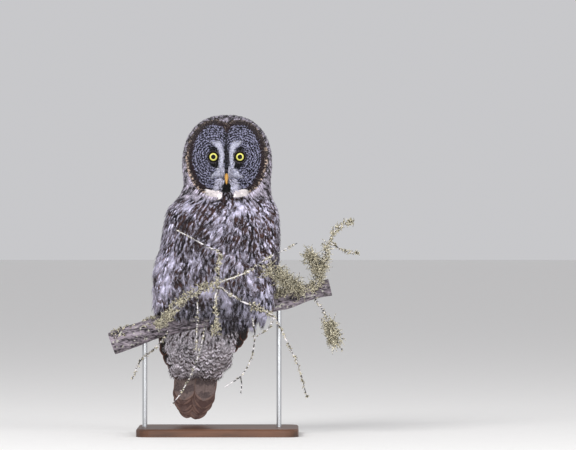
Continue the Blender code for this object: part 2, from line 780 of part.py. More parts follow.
def beard_locks(side):
    """The white locks under the bill, spread to one side."""
    made = []
    for i in range(3):
        start = (side * (8 + 5 * i) * MM, -58 * MM)
        end = (side * (15 + 14 * i) * MM, (-79 + 2 * i) * MM)
        made.append(face_vane(start, end, 15 * MM, (-2 * MM, 1.2 * MM, 3.4 * MM), 0.1 * side))
    return made


def eye_middle(side):
    x = HEAD_X + side * EYE_SPREAD
    surface = coat_surface(EYE_Z, angle_of(side * EYE_SPREAD, EYE_Z))
    return np.array([x, surface[1] + EYE_RADIUS * 0.62, EYE_Z])


def build_head():
    """Skull and coat, with the facial disc's dishes, its rim of ruff feathers, lids and beard."""
    pieces = [coat_body(NECK_TOP_Z, CROWN_Z - 1.2 * MM, 12, 40), *ruff_locks()]
    for side in (1, -1):
        pieces += [*beard_locks(side), lid_ring(side)]
    made = fuse("head", pieces, "face")
    sockets = [ball(eye_middle(side), EYE_RADIUS + GAP) for side in (1, -1)]
    return cut(made, [*sockets, bill_body(GAP), jaw_body(GAP)])


def lid_ring(side):
    """The bare lids: a flattened ring round the eye's opening."""
    middle = eye_middle(side)
    front = math.sqrt(EYE_RADIUS**2 - EYE_OPENING**2)
    sides, section = 14, 5
    points, faces = [], []
    for i in range(sides):
        turn = 2 * math.pi * i / sides
        for j in range(section):
            roll = 2 * math.pi * j / section
            radius = EYE_OPENING + 1.6 * MM + LID_RADIUS * math.cos(roll)
            depth = -front + 1.2 * MM + 2.2 * MM * math.sin(roll)
            points.append(middle + np.array([radius * math.cos(turn), depth, radius * math.sin(turn)]))
            a = i * section + j
            b = i * section + (j + 1) % section
            c = ((i + 1) % sides) * section + (j + 1) % section
            d = ((i + 1) % sides) * section + j
            faces += [(a, b, c), (a, c, d)]
    return np.array(points), faces


def face_y(x, z):
    """The face's own depth, x from the bill's line and z from the eyes' level."""
    return float(coat_surface(EYE_Z + z, angle_of(x, EYE_Z + z))[1])


def bill_body(grow=0.0):
    """The upper bill: a hooked cone that leaves the face forward and curves down to its tip."""
    turn = np.arange(14) * 2 * math.pi / 14
    root_y = face_y(0, BILL_TOP) + 7 * MM
    rings = []
    for s in (0, 0.2, 0.42, 0.62, 0.8, 0.93, 1.0):
        bend = s * BILL_BEND
        y = root_y - (BILL_REACH + 7 * MM) * math.sin(bend) ** 0.8
        drop = (BILL_TOP - BILL_TIP) * (1 - math.cos(bend)) / (1 - math.cos(BILL_BEND))
        middle = np.array([HEAD_X, y, EYE_Z + BILL_TOP - 3 * MM - drop])
        half = BILL_HALF_WIDTH * (1 - s**1.7) ** 0.75 + 0.5 * MM + grow
        tall = (BILL_HALF_WIDTH + 2.2 * MM) * (1 - s**1.5) ** 0.8 + 0.6 * MM + grow
        sideways = half * np.sin(turn)[:, None] * np.array([1.0, 0, 0])
        upwards = tall * np.cos(turn)[:, None] * np.array([0, -math.sin(bend), math.cos(bend)])
        rings.append(middle + sideways + upwards)
    if grow:
        ahead = rings[-1].mean(0) - rings[-2].mean(0)
        rings[-1] = rings[-1] + ahead / np.linalg.norm(ahead) * grow
        rings[0] = rings[0] + np.array([0, grow, 0])
    return loft(rings)


def jaw_body(grow=0.0):
    """The lower bill, closed up under the upper one."""
    turn = np.arange(10) * 2 * math.pi / 10
    start = face_y(0, BILL_TIP)
    rings = []
    for s in (0, 0.5, 0.85, 1.0):
        half = 4.2 * MM * (1 - s**1.6) + 0.6 * MM + grow
        tall = 2.6 * MM * (1 - 0.6 * s) + grow
        middle = np.array([HEAD_X, start + 8 * MM - 12.5 * MM * s, EYE_Z + BILL_TIP - (1.2 - 2.4 * s) * MM])
        rings.append(
            middle + half * np.sin(turn)[:, None] * np.array([1.0, 0, 0])
            + tall * np.cos(turn)[:, None] * np.array([0, 0, 1.0])
        )
    if grow:
        rings[-1] = rings[-1] + np.array([0, -grow, 0])
        rings[0] = rings[0] + np.array([0, grow, 0])
    return loft(rings)


def build_bill():
    """Upper bill with its nostrils, and lower bill, parted by the line of the mouth."""
    upper = object_from("bill_upper", *bill_body(), "bill")
    nostrils = []
    for side in (1, -1):
        x = HEAD_X + side * (BILL_HALF_WIDTH - 0.6 * MM)
        middle = (x, face_y(0, BILL_TOP) - 3 * MM, EYE_Z + BILL_TOP - 1 * MM)
        nostrils.append(ball(middle, NOSTRIL_RADIUS, 6, 8))
    cut(upper, [jaw_body(GAP), *nostrils])
    object_from("bill_lower", *jaw_body(), "bill")


def build_eyes():
    for name, side in (("eye_left", 1), ("eye_right", -1)):
        object_from(name, *ball(eye_middle(side), EYE_RADIUS), "iris")


def perch_tube(stations, sides, grow=0.0):
    """The branch: a bent tube whose radius swells a little at its knots."""
    x = np.linspace(PERCH_LINE[0, 0], PERCH_LINE[-1, 0], stations)
    radius = perch_radius(x) + 0.5 * MM * np.sin(x / (17 * MM)) + grow
    path = np.stack([x, np.zeros(stations), perch_middle(x)], axis=-1)
    return tube(path, radius, sides)


def build_perch():
    """A short cut length of branch, drilled from below for the stand's rods, with two sawn-off knots."""
    knots = []
    for x, turn, reach in KNOTS:
        middle = np.array([x, 0, perch_middle(x)])
        out = np.array([0.25, -math.cos(math.radians(turn)), math.sin(math.radians(turn))])
        path = middle + out * np.linspace(0.2, 1, 4)[:, None] * reach
        knots.append(tube(path, [9 * MM, 8 * MM, 6.5 * MM, 5.5 * MM], 8))
    made = fuse("perch", [perch_tube(PERCH_STATIONS, PERCH_SIDES), *knots], "bark")
    return cut(made, [rod_body(x, GAP) for x in ROD_PLACES.values()])


def rod_top(x):
    """Height of a rod's end, inside its hole in the perch."""
    return perch_middle(x) - perch_radius(x) + 13 * MM


def rod_body(x, grow=0.0):
    """A straight round rod from its seat in the base to its hole in the perch."""
    low = BASE_HEIGHT - ROD_SEAT - grow
    high = rod_top(x) + grow
    path = [(x, 0, low), (x, 0, high)]
    return tube(path, ROD_RADIUS + grow, ROD_SIDES)


def build_stand():
    """A flat base with rounded corners and two short rods."""
    outline = []
    for quarter in range(4):
        sx, sy = ((1, 1), (-1, 1), (-1, -1), (1, -1))[quarter]
        for k in range(5):
            turn = math.radians(90 * quarter + 22.5 * k)
            outline.append(
                (
                    sx * (BASE_LENGTH / 2 - BASE_CORNER) + BASE_CORNER * math.cos(turn),
                    sy * (BASE_DEPTH / 2 - BASE_CORNER) + BASE_CORNER * math.sin(turn),
                )
            )
    outline = np.array(outline)
    inner = outline * (1 - BASE_EDGE / np.array([BASE_LENGTH / 2, BASE_DEPTH / 2]))
    levels = [(outline, 0), (outline, BASE_HEIGHT - BASE_EDGE), (inner, BASE_HEIGHT)]
    rings = [np.column_stack([shape, np.full(len(shape), z)]) for shape, z in levels]
    base = object_from("stand_base", *loft(rings), "wood")
    cut(base, [rod_body(x, GAP) for x in ROD_PLACES.values()])
    for name, x in ROD_PLACES.items():
        object_from(name, *rod_body(x), "steel")


def toe_point(x, turn, reach):
    """A point beside the perch: turn degrees from its top towards the front, reach from its middle line."""
    step = 2 * MM
    along = np.array([2 * step, 0, perch_middle(x + step) - perch_middle(x - step)])
    front = np.array([0, -1.0, 0])
    up = np.cross(front, along / np.linalg.norm(along))
    angle = math.radians(turn)
    return np.array([x, 0, perch_middle(x)]) + reach * (math.sin(angle) * front + math.cos(angle) * up)


def toe_body(x, offset, ahead, reach, grow=0.0):
    """One feathered toe from the foot's pad round the side of the perch, to the front (1) or the back (-1)."""
    first, last = TOE_ANGLES
    path, radii = [], []
    for share in (0, 0.3, 0.65, 1.0):
        radius = TOE_RADIUS * (1 - 0.22 * share)
        spot = x + offset * (0.45 + 0.75 * share)
        path.append(toe_point(spot, ahead * (first + (last - first) * share), reach + radius))
        radii.append(radius + grow)
    if grow:
        path[-1] = path[-1] + (path[-1] - path[-2]) / np.linalg.norm(path[-1] - path[-2]) * grow
    return tube(path, radii, 7)


def pad_body(x, reach, grow=0.0):
    """The foot's pad on top of the perch."""
    middle = toe_point(x, 0, reach + 8.4 * MM)
    return ball(middle, 8 * MM + grow, 6, 10, (1.7, 1.9, 0.98))


def build_feet():
    """Feathered legs and toes that grip the perch, two toes to the front and two to the back, with claws."""
    for side, x in LEG_PLACES.items():
        reach = perch_radius(x) + 0.6 * MM + GAP
        pieces = [pad_body(x, reach)]
        pieces += [toe_body(x, offset, ahead, reach) for offset, ahead in TOES.values()]
        foot = fuse(f"foot_{side}", pieces, "plumage")
        cut(foot, [perch_tube(PERCH_STATIONS, PERCH_SIDES, GAP)])
        build_leg(side, x, reach)
        for toe, (offset, ahead) in TOES.items():
            build_claw(f"claw_{toe}_{side}", x, offset, ahead, reach)


def build_leg(side, x, reach):
    """The feathered leg between the belly and the foot's pad, cut clear of both."""
    turn = np.arange(14) * 2 * math.pi / 14
    low = toe_point(x, 0, reach + 9 * MM)[2]
    rings = []
    for up, half, depth in LEG_LEVELS:
        ring = [x + half * np.cos(turn), depth * np.sin(turn), np.full(len(turn), low + up)]
        rings.append(np.stack(ring, axis=-1))
    leg = object_from(f"leg_{side}", *loft(rings), "plumage")
    toes = [toe_body(x, offset, ahead, reach, GAP) for offset, ahead in TOES.values()]
    cut(leg, [slanted_block(TORSO_OVER_PERCH - GAP, 100 * MM), pad_body(x, reach, GAP), *toes])


def build_claw(name, x, offset, ahead, reach):
    """A curved claw that carries on from its toe and hooks round the perch."""
    first, last = CLAW_ANGLES
    path, radii = [], []
    for share in (0, 0.3, 0.65, 1.0):
        radius = CLAW_RADIUS * (1 - 0.88 * share)
        over = reach + 5.3 * MM - 4.2 * MM * share + radius * 0.4
        path.append(toe_point(x + offset * 1.2, ahead * (first + (last - first) * share), over))
        radii.append(radius)
    claw = object_from(name, *tube(path, radii, 6), "claw")
    return cut(claw, [toe_body(x, offset, ahead, reach, GAP)])


def photo_point(across, down, ahead):
    """A place of the photo, in pixels, as a point of the model, ahead millimetres to the front."""
    return (
        (across - PHOTO_MID_X) * PHOTO_SCALE,
        -ahead * MM,
        (PHOTO_TAIL_TIP_Y - down) * PHOTO_SCALE + TAIL_TIP_Z,
    )


def twig_tube(name, grow=0.0):
    """A thin tapered twig on a smooth curve through its places."""
    places = np.array([photo_point(*p) for p in TWIGS[name]])
    run = np.concatenate([[0], np.cumsum(np.linalg.norm(np.diff(places, axis=0), axis=1))])
    at = np.linspace(0, run[-1], 12)
    path = np.stack([smooth(run, places[:, k], at) for k in range(3)], axis=-1)
    share = at / run[-1]
    radii = TWIG_ROOT_RADIUS + (TWIG_TIP_RADIUS - TWIG_ROOT_RADIUS) * share + 0.25 * MM * np.sin(share * 40)
    return tube(path, radii + grow, 5)


def build_twigs():
    """The dead twigs that grow from the perch and cross in front of the belly and the tail."""
    perch = perch_tube(PERCH_STATIONS, PERCH_SIDES, GAP)
    for name in TWIGS:
        twig = object_from(name, *twig_tube(name), "bark")
        neighbours = [perch]
        if name in ("twig_upper", "twig_long"):
            neighbours.append(twig_tube("twig_main", GAP))
        if name == "twig_upper":
            neighbours.append(twig_tube("twig_long", GAP))
        cut(twig, neighbours)


def shade():
    """Smooth shading, with the edges between the feathers kept sharp."""
    for made in bpy.data.objects:
        made.data.shade_smooth()
        made.data.set_sharp_from_angle(angle=SHARP_EDGE)


def main():
    for old in list(bpy.data.objects):
        bpy.data.objects.remove(old)
    build_stand()
    build_perch()
    build_feet()
    build_torso()
    build_neck()
    build_wing("wing_left", 1)
    build_wing("wing_right", -1)
    build_vent()
    build_tail()
    build_head()
    build_bill()
    build_eyes()
    build_twigs()
    shade()


main()
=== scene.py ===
# %% [markdown]
# # A great grey owl in feathers
# This script dresses a solid model of a perched owl: skin, feathers, face, eyes, bill, branch and
# stand. It loads the solid model as a fixed frame and builds every feather at its real size on it.
# Lengths are in metres, the owl looks along -Y and +Z is up.

# %% Load the frame
import math

import bpy
import numpy as np
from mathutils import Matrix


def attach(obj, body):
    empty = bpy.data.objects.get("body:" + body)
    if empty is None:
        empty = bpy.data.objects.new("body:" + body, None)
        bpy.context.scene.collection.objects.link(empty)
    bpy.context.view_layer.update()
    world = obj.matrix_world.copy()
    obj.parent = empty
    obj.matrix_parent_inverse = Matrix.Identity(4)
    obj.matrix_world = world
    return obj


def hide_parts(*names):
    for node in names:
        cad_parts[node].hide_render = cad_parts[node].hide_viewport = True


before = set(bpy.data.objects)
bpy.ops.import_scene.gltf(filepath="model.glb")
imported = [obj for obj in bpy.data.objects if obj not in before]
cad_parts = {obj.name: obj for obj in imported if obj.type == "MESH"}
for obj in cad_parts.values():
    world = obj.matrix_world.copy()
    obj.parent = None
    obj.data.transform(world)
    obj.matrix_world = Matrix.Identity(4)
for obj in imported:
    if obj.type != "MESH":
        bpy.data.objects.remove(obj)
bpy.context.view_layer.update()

MM = 0.001
rng = np.random.default_rng(11)
print("frame nodes:", len(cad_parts))

# %% [markdown]
# ## Meshes from arrays
# A feather coat is hundreds of thousands of small faces. Blender could add them one by one, but
# that takes minutes. Instead each piece is worked out as whole arrays of points and faces and put
# into its mesh in one go. Values that the materials need, such as how far along its feather a
# point is, go in as attributes.


# %% Mesh helpers
def mesh_piece(name, points, faces, material, slot, nodes=(), attributes=None, uv=None, flat=False):
    """A piece from points (n, 3) and a list of face arrays, each (m, corners), with its materials set.

    Every face array holds point numbers. Attributes and uv have a row for each point.
    """
    mesh = bpy.data.meshes.new(name)
    corners = np.concatenate([f.ravel() for f in faces])
    sizes = np.concatenate([np.full(len(f), f.shape[1]) for f in faces])
    starts = np.concatenate([[0], np.cumsum(sizes)[:-1]])
    mesh.vertices.add(len(points))
    mesh.vertices.foreach_set("co", points.astype(np.float32).ravel())
    mesh.loops.add(len(corners))
    mesh.loops.foreach_set("vertex_index", corners.astype(np.int32))
    mesh.polygons.add(len(sizes))
    mesh.polygons.foreach_set("loop_start", starts.astype(np.int32))
    for key, values in (attributes or {}).items():
        kind, field = ("FLOAT_VECTOR", "vector") if values.ndim == 2 else ("FLOAT", "value")
        layer = mesh.attributes.new(key, kind, "POINT")
        layer.data.foreach_set(field, values.astype(np.float32).ravel())
    if uv is not None:
        layer = mesh.uv_layers.new(name="OFBake")
        layer.data.foreach_set("uv", uv[corners].astype(np.float32).ravel())
    mesh.update(calc_edges=True)
    mesh.validate()
    if not flat:
        mesh.shade_smooth()
    piece = bpy.data.objects.new(name, mesh)
    bpy.context.scene.collection.objects.link(piece)
    mesh.materials.append(material)
    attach(piece, "root")
    if nodes:
        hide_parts(*nodes)
    triangles = int((sizes - 2).sum())
    print(f"{name}: {triangles} triangles")
    return piece


def grid_faces(rows, columns, closed=False):
    """Faces of a grid of points numbered row by row, joined round its columns where closed."""
    i = np.arange(rows - 1)[:, None] * columns
    j = np.arange(columns if closed else columns - 1)[None, :]
    a, b = i + j, i + (j + 1) % columns
    return np.stack([a, b, b + columns, a + columns], axis=-1).reshape(-1, 4)


def lathe(rings):
    """A closed body through rings (rows, columns, 3): each end is a fan on the mean of its ring."""
    rows, columns = rings.shape[:2]
    ends = np.stack([rings[0].mean(0), rings[-1].mean(0)])
    points = np.concatenate([rings.reshape(-1, 3), ends])
    j = np.arange(columns)
    low = np.stack([(j + 1) % columns, j, np.full(columns, rows * columns)], axis=-1)
    last = (rows - 1) * columns
    high = np.stack([last + j, last + (j + 1) % columns, np.full(columns, rows * columns + 1)], axis=-1)
    return points, [grid_faces(rows, columns, True), np.concatenate([low, high])]


def slab(upper, lower):
    """A closed thin plate between two grids of points (rows, columns, 3), its rim closed by quads."""
    rows, columns = upper.shape[:2]
    under = rows * columns
    points = np.concatenate([upper.reshape(-1, 3), lower.reshape(-1, 3)])
    top = grid_faces(rows, columns)
    j, i = np.arange(columns), np.arange(rows)
    rim = np.concatenate(
        [j, i[1:] * columns + columns - 1, (rows - 1) * columns + j[-2::-1], i[-2:0:-1] * columns]
    )
    after = np.roll(rim, -1)
    sides = np.stack([after, rim, under + rim, under + after], axis=-1)
    return points, [np.concatenate([top, under + top[:, ::-1], sides])]


def together(parts):
    """Several (points, faces) as one, with the face numbers moved on and faces of a size put together."""
    points, faces, offset = [], {}, 0
    for part_points, part_faces in parts:
        for array in part_faces:
            faces.setdefault(array.shape[1], []).append(array + offset)
        points.append(part_points)
        offset += len(part_points)
    return np.concatenate(points), [np.concatenate(f) for f in faces.values()]


def unit(vectors):
    return vectors / np.linalg.norm(vectors, axis=-1, keepdims=True)


def ramp(low, high, at):
    """0 below low, 1 above high, and a smooth S-shaped rise between them."""
    t = np.clip((at - low) / (high - low), 0, 1)
    return t * t * (3 - 2 * t)


# %% [markdown]
# ## The coat's surface
# The solid model's body is one smooth surface. At each height it is a rounded box (a superellipse)
# whose half width and reach are read from a short table, and a dome closes the crown. In front the
# face is pressed in by two dishes with a ridge between them. The feathers' tips lie on this
# surface, so the same formulas are repeated here. Two forms of it are needed. The first gives a
# point from a height and an angle. The second tells how far any point is from the surface, and a
# few steps of Newton's method then pull points onto it, which lays a feather over any curve.

# %% Sizes of the owl
CROWN_Z = 654 * MM
HEAD_MID_Z = 549 * MM
HEAD_X = 19 * MM
EYE_Z = 568 * MM
EYE_SPREAD = 27 * MM
EYE_RADIUS = 10.5 * MM
COAT_LEVELS = (
    np.array(
        [
            # height, middle x, middle y, half width, reach to the front, reach to the back
            (150, -37, 50, 72, 20, 46),
            (180, -29, 40, 92, 40, 60),
            (225, -13, 18, 112, 56, 80),
            (256, -9, 8, 116, 68, 90),
            (297, -8, 2, 117, 89, 100),
            (338, -5, 0, 118, 101, 107),
            (379, 4, 0, 115, 106, 109),
            (420, 7, -1, 112, 104, 107),
            (461, 10, -4, 108, 95, 99),
            (491, 16, -8, 94, 82, 88),
            (512, 19, -10, 89, 80, 86),
            (549, 19, -10, 92, 84, 88),
        ]
    )
    * MM
)
DOME_POWERS = (2.3, 3.2, 2.2)
BACK_POWER = 2.15


# %% The coat as formulas
def smooth(keys, values, at):
    """Values between the keys on cubics whose slopes are harmonic means, so that they never overshoot."""
    run, rise = np.diff(keys), np.diff(values) / np.diff(keys)
    same = rise[:-1] * rise[1:] > 0
    mean = 2 * rise[:-1] * rise[1:] / np.where(same, rise[:-1] + rise[1:], 1)
    slope = np.concatenate([[rise[0]], np.where(same, mean, 0), [rise[-1]]])
    at = np.clip(at, keys[0], keys[-1])
    i = np.clip(np.searchsorted(keys, at, side="right") - 1, 0, len(run) - 1)
    t = (at - keys[i]) / run[i]
    ends = values[i] * (1 + 2 * t) * (1 - t) ** 2 + values[i + 1] * t * t * (3 - 2 * t)
    return ends + run[i] * (slope[i] * t * (1 - t) ** 2 - slope[i + 1] * t * t * (1 - t))


TABLE_Z = np.linspace(COAT_LEVELS[0, 0], CROWN_Z, 1009)
TABLE = [smooth(COAT_LEVELS[:, 0], COAT_LEVELS[:, k], TABLE_Z) for k in range(1, 6)]


def coat_section(z):
    """Middle x and y, half width, front and back reach at height z, the dome's rounding included."""
    x, y, side, front, back = (np.interp(z, TABLE_Z, column) for column in TABLE)
    up = np.clip((z - HEAD_MID_Z) / (CROWN_Z - HEAD_MID_Z), 0, 0.99999)
    round_side, round_front, round_back = ((1 - up**p) ** (1 / p) for p in DOME_POWERS)
    return x, y, side * round_side, front * round_front, back * round_back


def front_power(z):
    """The superellipse's power in front: boxier at the belly, 3.6, than at the breast and head, 2.5."""
    return 3.6 - 1.1 * ramp(270 * MM, 370 * MM, z)


def face_relief(x, z):
    """How far the face stands out: two elliptical dishes, a ridge between them and the disc's raised rim."""
    dish_x, dish_z = (np.abs(x) - 32 * MM) / (42 * MM), (z + 3 * MM) / (60 * MM)
    dish = -10 * MM * np.clip(1 - dish_x**2 - dish_z**2, 0, 1) ** 1.5
    ridge = 6 * MM * np.exp(-((x / (9 * MM)) ** 2)) * np.clip(1 - (z / (52 * MM)) ** 2, 0, 1)
    share = np.hypot(x / (80 * MM), (z + 1 * MM) / (70 * MM))
    return dish + ridge + 2.5 * MM * np.exp(-(((share - 0.97) / 0.08) ** 2))


def coat_surface(z, phi):
    """The coat's point at height z and angle phi, in degrees from the front over the owl's left."""
    z, phi = np.broadcast_arrays(np.asarray(z, float), np.radians(np.asarray(phi, float)))
    x0, y0, side, front, back = coat_section(z)
    s, c = np.sin(phi), np.cos(phi)
    power = np.where(c > 0, front_power(z), BACK_POWER)
    x = side * np.sign(s) * np.abs(s) ** (2 / power)
    y = -np.where(c > 0, front, back) * np.sign(c) * np.abs(c) ** (2 / power)
    relief = face_relief(x, z - EYE_Z) * np.clip(2.2 * c, 0, 1) * ramp(486 * MM, 504 * MM, z)
    return np.stack([x0 + x, y0 + y - relief, z], axis=-1)


def coat_value(points):
    """0 on the coat, below 0 inside: the superellipse's sum, flattened by the dome's height, less 1."""
    x, y, z = np.moveaxis(points, -1, 0)
    x0, y0, side, front, back = coat_section(z)
    dx, dy = x - x0, y - y0
    ahead = dy < 0
    power = np.where(ahead, front_power(z), BACK_POWER)
    reach = np.where(ahead, front, back)
    cosine = np.clip(np.abs(dy) / reach, 0, 1) ** (power / 2)
    facing = np.where(ahead, np.clip(2.2 * cosine, 0, 1), 0) * ramp(486 * MM, 504 * MM, z)
    deep = np.clip(np.abs(dy) - face_relief(dx, z - EYE_Z) * facing, 0, None)
    up = np.clip((z - HEAD_MID_Z) / (CROWN_Z - HEAD_MID_Z), 0, 1.5) ** 2.3
    ring = (np.abs(dx) / side) ** power + (deep / reach) ** power
    return (np.clip(1 - up, 0, 1) * ring + up) ** (1 / 2.3) - 1


def onto_coat(points, rounds=4):
    """Pulls points onto the coat, each step along the slope of coat_value, and gives the outward normals."""
    step = 0.3 * MM
    for _ in range(rounds):
        value = coat_value(points)
        slope = np.stack([(coat_value(points + step * axis) - value) / step for axis in np.eye(3)], axis=-1)
        points = points - (value / (slope**2).sum(-1))[..., None] * slope
    return points, unit(slope)


def coat_point(z, phi, h):
    """A point at height h over the coat, along the normal worked out from two small steps on it."""
    top = np.minimum(np.asarray(z, float) + 0.4 * MM, CROWN_Z - 0.2 * MM)
    around = coat_surface(z, np.asarray(phi) + 0.25) - coat_surface(z, np.asarray(phi) - 0.25)
    up = coat_surface(top, phi) - coat_surface(top - 0.8 * MM, phi)
    return coat_surface(z, phi) + np.asarray(h)[..., None] * unit(np.cross(around, up))


# %% Even places on the coat
def even_places(low, high, first, last, spacing, seed):
    """Root points and normals spread evenly between two heights and two angles.

    A fine grid gives the area of each cell. A low-discrepancy sequence picks the row by its share of
    the area and the column by its share in the row, so places keep about one spacing apart.
    """
    share = np.linspace(0, 1, 301)
    rise = np.sin(share * math.pi / 2) if high > HEAD_MID_Z else share
    z = (low + (high - low) * rise)[:, None]
    phi = np.linspace(first, last, 361)[None, :]
    grid = coat_surface(z, phi)
    cell = np.linalg.norm(np.cross(np.diff(grid, axis=0)[:, :-1], np.diff(grid, axis=1)[:-1]), axis=-1)
    rows = np.concatenate([[0], np.cumsum(cell.sum(1))])
    count = int(rows[-1] / spacing**2)
    k = np.arange(count) + seed
    u, v = (0.5 + k * 0.7548776662) % 1, (0.5 + k * 0.5698402910) % 1
    level = np.interp(u * rows[-1], rows, np.arange(301))
    i = np.clip(level.astype(int), 0, 299)
    columns = np.cumsum(cell, axis=1) / cell.sum(1)[:, None]
    columns = np.concatenate([np.zeros((300, 1)), columns], axis=1)
    j = np.searchsorted((columns + np.arange(300)[:, None] * 2).ravel(), v + i * 2) - i * 361
    j = np.clip(j, 1, 360)
    before, after = columns[i, j - 1], columns[i, j]
    column = j - 1 + (v - before) / np.maximum(after - before, 1e-9)
    roots = coat_surface(np.interp(level, np.arange(301), z[:, 0]), np.interp(column, np.arange(361), phi[0]))
    return onto_coat(roots, 2)


def angle_round(points):
    """The angle round the bird, in degrees, of points near the coat."""
    x0, y0 = (np.interp(points[..., 2], TABLE_Z, column) for column in TABLE[:2])
    return np.degrees(np.arctan2(points[..., 0] - x0, -(points[..., 1] - y0)))


LATTICE = rng.random((32, 32, 32))


def spots(points, size, shift=0.0):
    """Smooth noise from 0 to 1 whose spots are about size (x, y, z) apart.

    Random values sit on a lattice, and between its corners they are blended by 3t^2 - 2t^3.
    """
    at = points / np.asarray(size) + 40 + shift
    low = np.floor(at).astype(int)
    t = at - low
    t = t * t * (3 - 2 * t)
    total = 0
    for corner in np.ndindex(2, 2, 2):
        weight = np.prod(np.where(corner, t, 1 - t), axis=-1)
        total = total + weight * LATTICE[tuple(((low + corner) % 32).T)]
    return total


check, _ = onto_coat(coat_surface(np.array([300, 420, 600]) * MM, np.array([20, 100, 170])) * 1.02)
print("points pulled onto the coat, left over:", np.abs(coat_value(check)).max())

# %% [markdown]
# ## One feather as a fan of barbs
# A body feather of an owl isn't a smooth leaf. Its barbs part at the edge into soft strands. A
# flat leaf with a picture of strands on it would look stiff at the outline, so each feather here is
# a fan of narrow, roof-shaped strips that taper to a point. A fan has a few dozen faces, because
# the coat has thousands of them.


# %% The fan and how it is laid
def fan(strips):
    """A fan's points as (along 0..1, across -1..1, ridge 0..1) and its faces.

    Strip i starts near the shaft, spreads to its place b in -1..1 and ends at 1 - 0.26 b^2.
    """
    b = np.linspace(-1, 1, strips) if strips > 1 else np.zeros(1)
    half = 1.25 / strips
    end = 1 - 0.26 * b**2
    stations = []
    for along, spread, wide in ((0, 0.3, 0.45), (0.55, 0.85, 1.0)):
        for side, ridge in ((-1, 0), (0, 1), (1, 0)):
            t = b * spread * (1 - half) + side * half * wide
            stations.append(np.stack([np.full(strips, along) * end, t, np.full(strips, ridge)], axis=-1))
    stations.append(np.stack([end, b * 0.96, np.full(strips, 0.3)], axis=-1))
    points = np.stack(stations, axis=1).reshape(-1, 3)
    start = np.arange(strips)[:, None] * 7
    quads = np.array([(0, 3, 4, 1), (1, 4, 5, 2), (2, 5, 3, 0)])
    triangles = np.array([(0, 1, 2), (3, 6, 4), (4, 6, 5), (5, 6, 3)])
    return points, [
        (start[:, :, None] + quads[None]).reshape(-1, 4),
        (start[:, :, None] + triangles[None]).reshape(-1, 3),
    ]


def lay(
    roots, normals, lie, length, width, lift, strips, marks, ring=None, loose=0.12, surface=onto_coat, thick=0.5
):
    """Lays a fan at each root and returns its points, faces, attributes and bake map.

    lie is each feather's wanted direction. A 3 by 3 net of points over each feather is pulled onto
    the surface, and the fan's points are placed in that net by quadratic weights, then raised by
    lift = (root, tip), which grows as along^0.8, and by the ridge, and bent down at the edges.
    """
    count = len(roots)
    fan_points, fan_faces = fan(strips)
    length, width = (np.broadcast_to(v, (count,)) * rng.uniform(0.86, 1.14, count) for v in (length, width))
    lie = unit(lie - (lie * normals).sum(-1, keepdims=True) * normals)
    across = np.cross(normals, lie)
    turn = rng.normal(0, loose, count)[:, None]
    lie, across = lie * np.cos(turn) + across * np.sin(turn), across * np.cos(turn) - lie * np.sin(turn)
    reach = np.array([0, 0.5, 1])[None, :, None, None] * length[:, None, None, None] * lie[:, None, None]
    spread = np.array([-1, 0, 1])[None, None, :, None] * width[:, None, None, None] / 2 * across[:, None, None]
    net = roots[:, None, None] + reach + spread
    net, net_normals = surface(net, 3)
    if net_normals is None:
        net_normals = np.broadcast_to(normals[:, None, None], net.shape)
    s = fan_points[:, 0] + rng.normal(0, 0.035, (count, len(fan_points))) * (fan_points[:, 0] > 0.7)
    t = fan_points[:, 1] + rng.normal(0, 0.07, (count, len(fan_points))) * (fan_points[:, 0] > 0.7)
    down = np.stack([(1 - s) * (1 - 2 * s), 4 * s * (1 - s), s * (2 * s - 1)], axis=-1)
    side = np.stack([t * (t - 1) / 2, 1 - t * t, t * (t + 1) / 2], axis=-1)
    points = np.einsum("nmi,nmj,nijc->nmc", down, side, net)
    outward = unit(np.einsum("nmi,nmj,nijc->nmc", down, side, net_normals))
    low, high = (np.broadcast_to(v, (count,))[:, None] for v in lift)
    lean = rng.normal(0, 0.5 * MM, (count, 1))
    height = low + (high - low) * np.clip(s, 0, 1) ** 0.8 + lean * s - 0.07 * width[:, None] * t**2
    points = points + (height + fan_points[:, 2] * thick * MM)[..., None] * outward
    number = np.arange(count)[:, None, None] * len(fan_points)
    faces = [(number + f[None]).reshape(-1, f.shape[1]) for f in fan_faces]
    chance = np.broadcast_to(rng.random(count)[:, None], s.shape)
    vane = np.stack([t, s, chance], axis=-1).reshape(-1, 3)
    marks = np.broadcast_to(np.asarray(marks, float), (count, 3))
    marks = np.repeat(marks, len(fan_points), axis=0)
    place = np.stack([(angle_round(roots) / 360 + 0.5), (roots[:, 2] / CROWN_Z)], axis=-1) * 0.98 + 0.01
    uv = place[:, None] + 0.003 * np.stack([t / 2, s - 0.5], axis=-1)
    made = {"points": points.reshape(-1, 3), "faces": faces, "vane": vane, "mark": marks, "uv": uv.reshape(-1, 2)}
    if ring is not None:
        made["ring"] = ring(made["points"])
    return made


def coat_piece(name, sets, material, slot, nodes=()):
    """One piece from several sets of laid feathers."""
    points, faces = together([(s["points"], s["faces"]) for s in sets])
    attributes = {k: np.concatenate([s[k] for s in sets]) for k in ("vane", "mark", "ring") if k in sets[0]}
    uv = np.concatenate([s["uv"] for s in sets])
    return mesh_piece(name, points, faces, material, slot, nodes, attributes, uv)


# %% [markdown]
# ## Colours and nodes
# Every finish is a node tree. A feather's markings follow the feather, so they read the attributes
# that went in with its points: vane is (across, along, a chance value of the feather's own), and
# mark is (dark middle streak, cross bars, tone). Fine flecks come from noise in real millimetres.


# %% Node helpers
def linear(hex_colour):
    """An sRGB hex colour as linear RGBA."""
    c = np.array([int(hex_colour[i : i + 2], 16) for i in (1, 3, 5)]) / 255
    c = np.where(c <= 0.04045, c / 12.92, ((c + 0.055) / 1.055) ** 2.4)
    return (*c, 1.0)


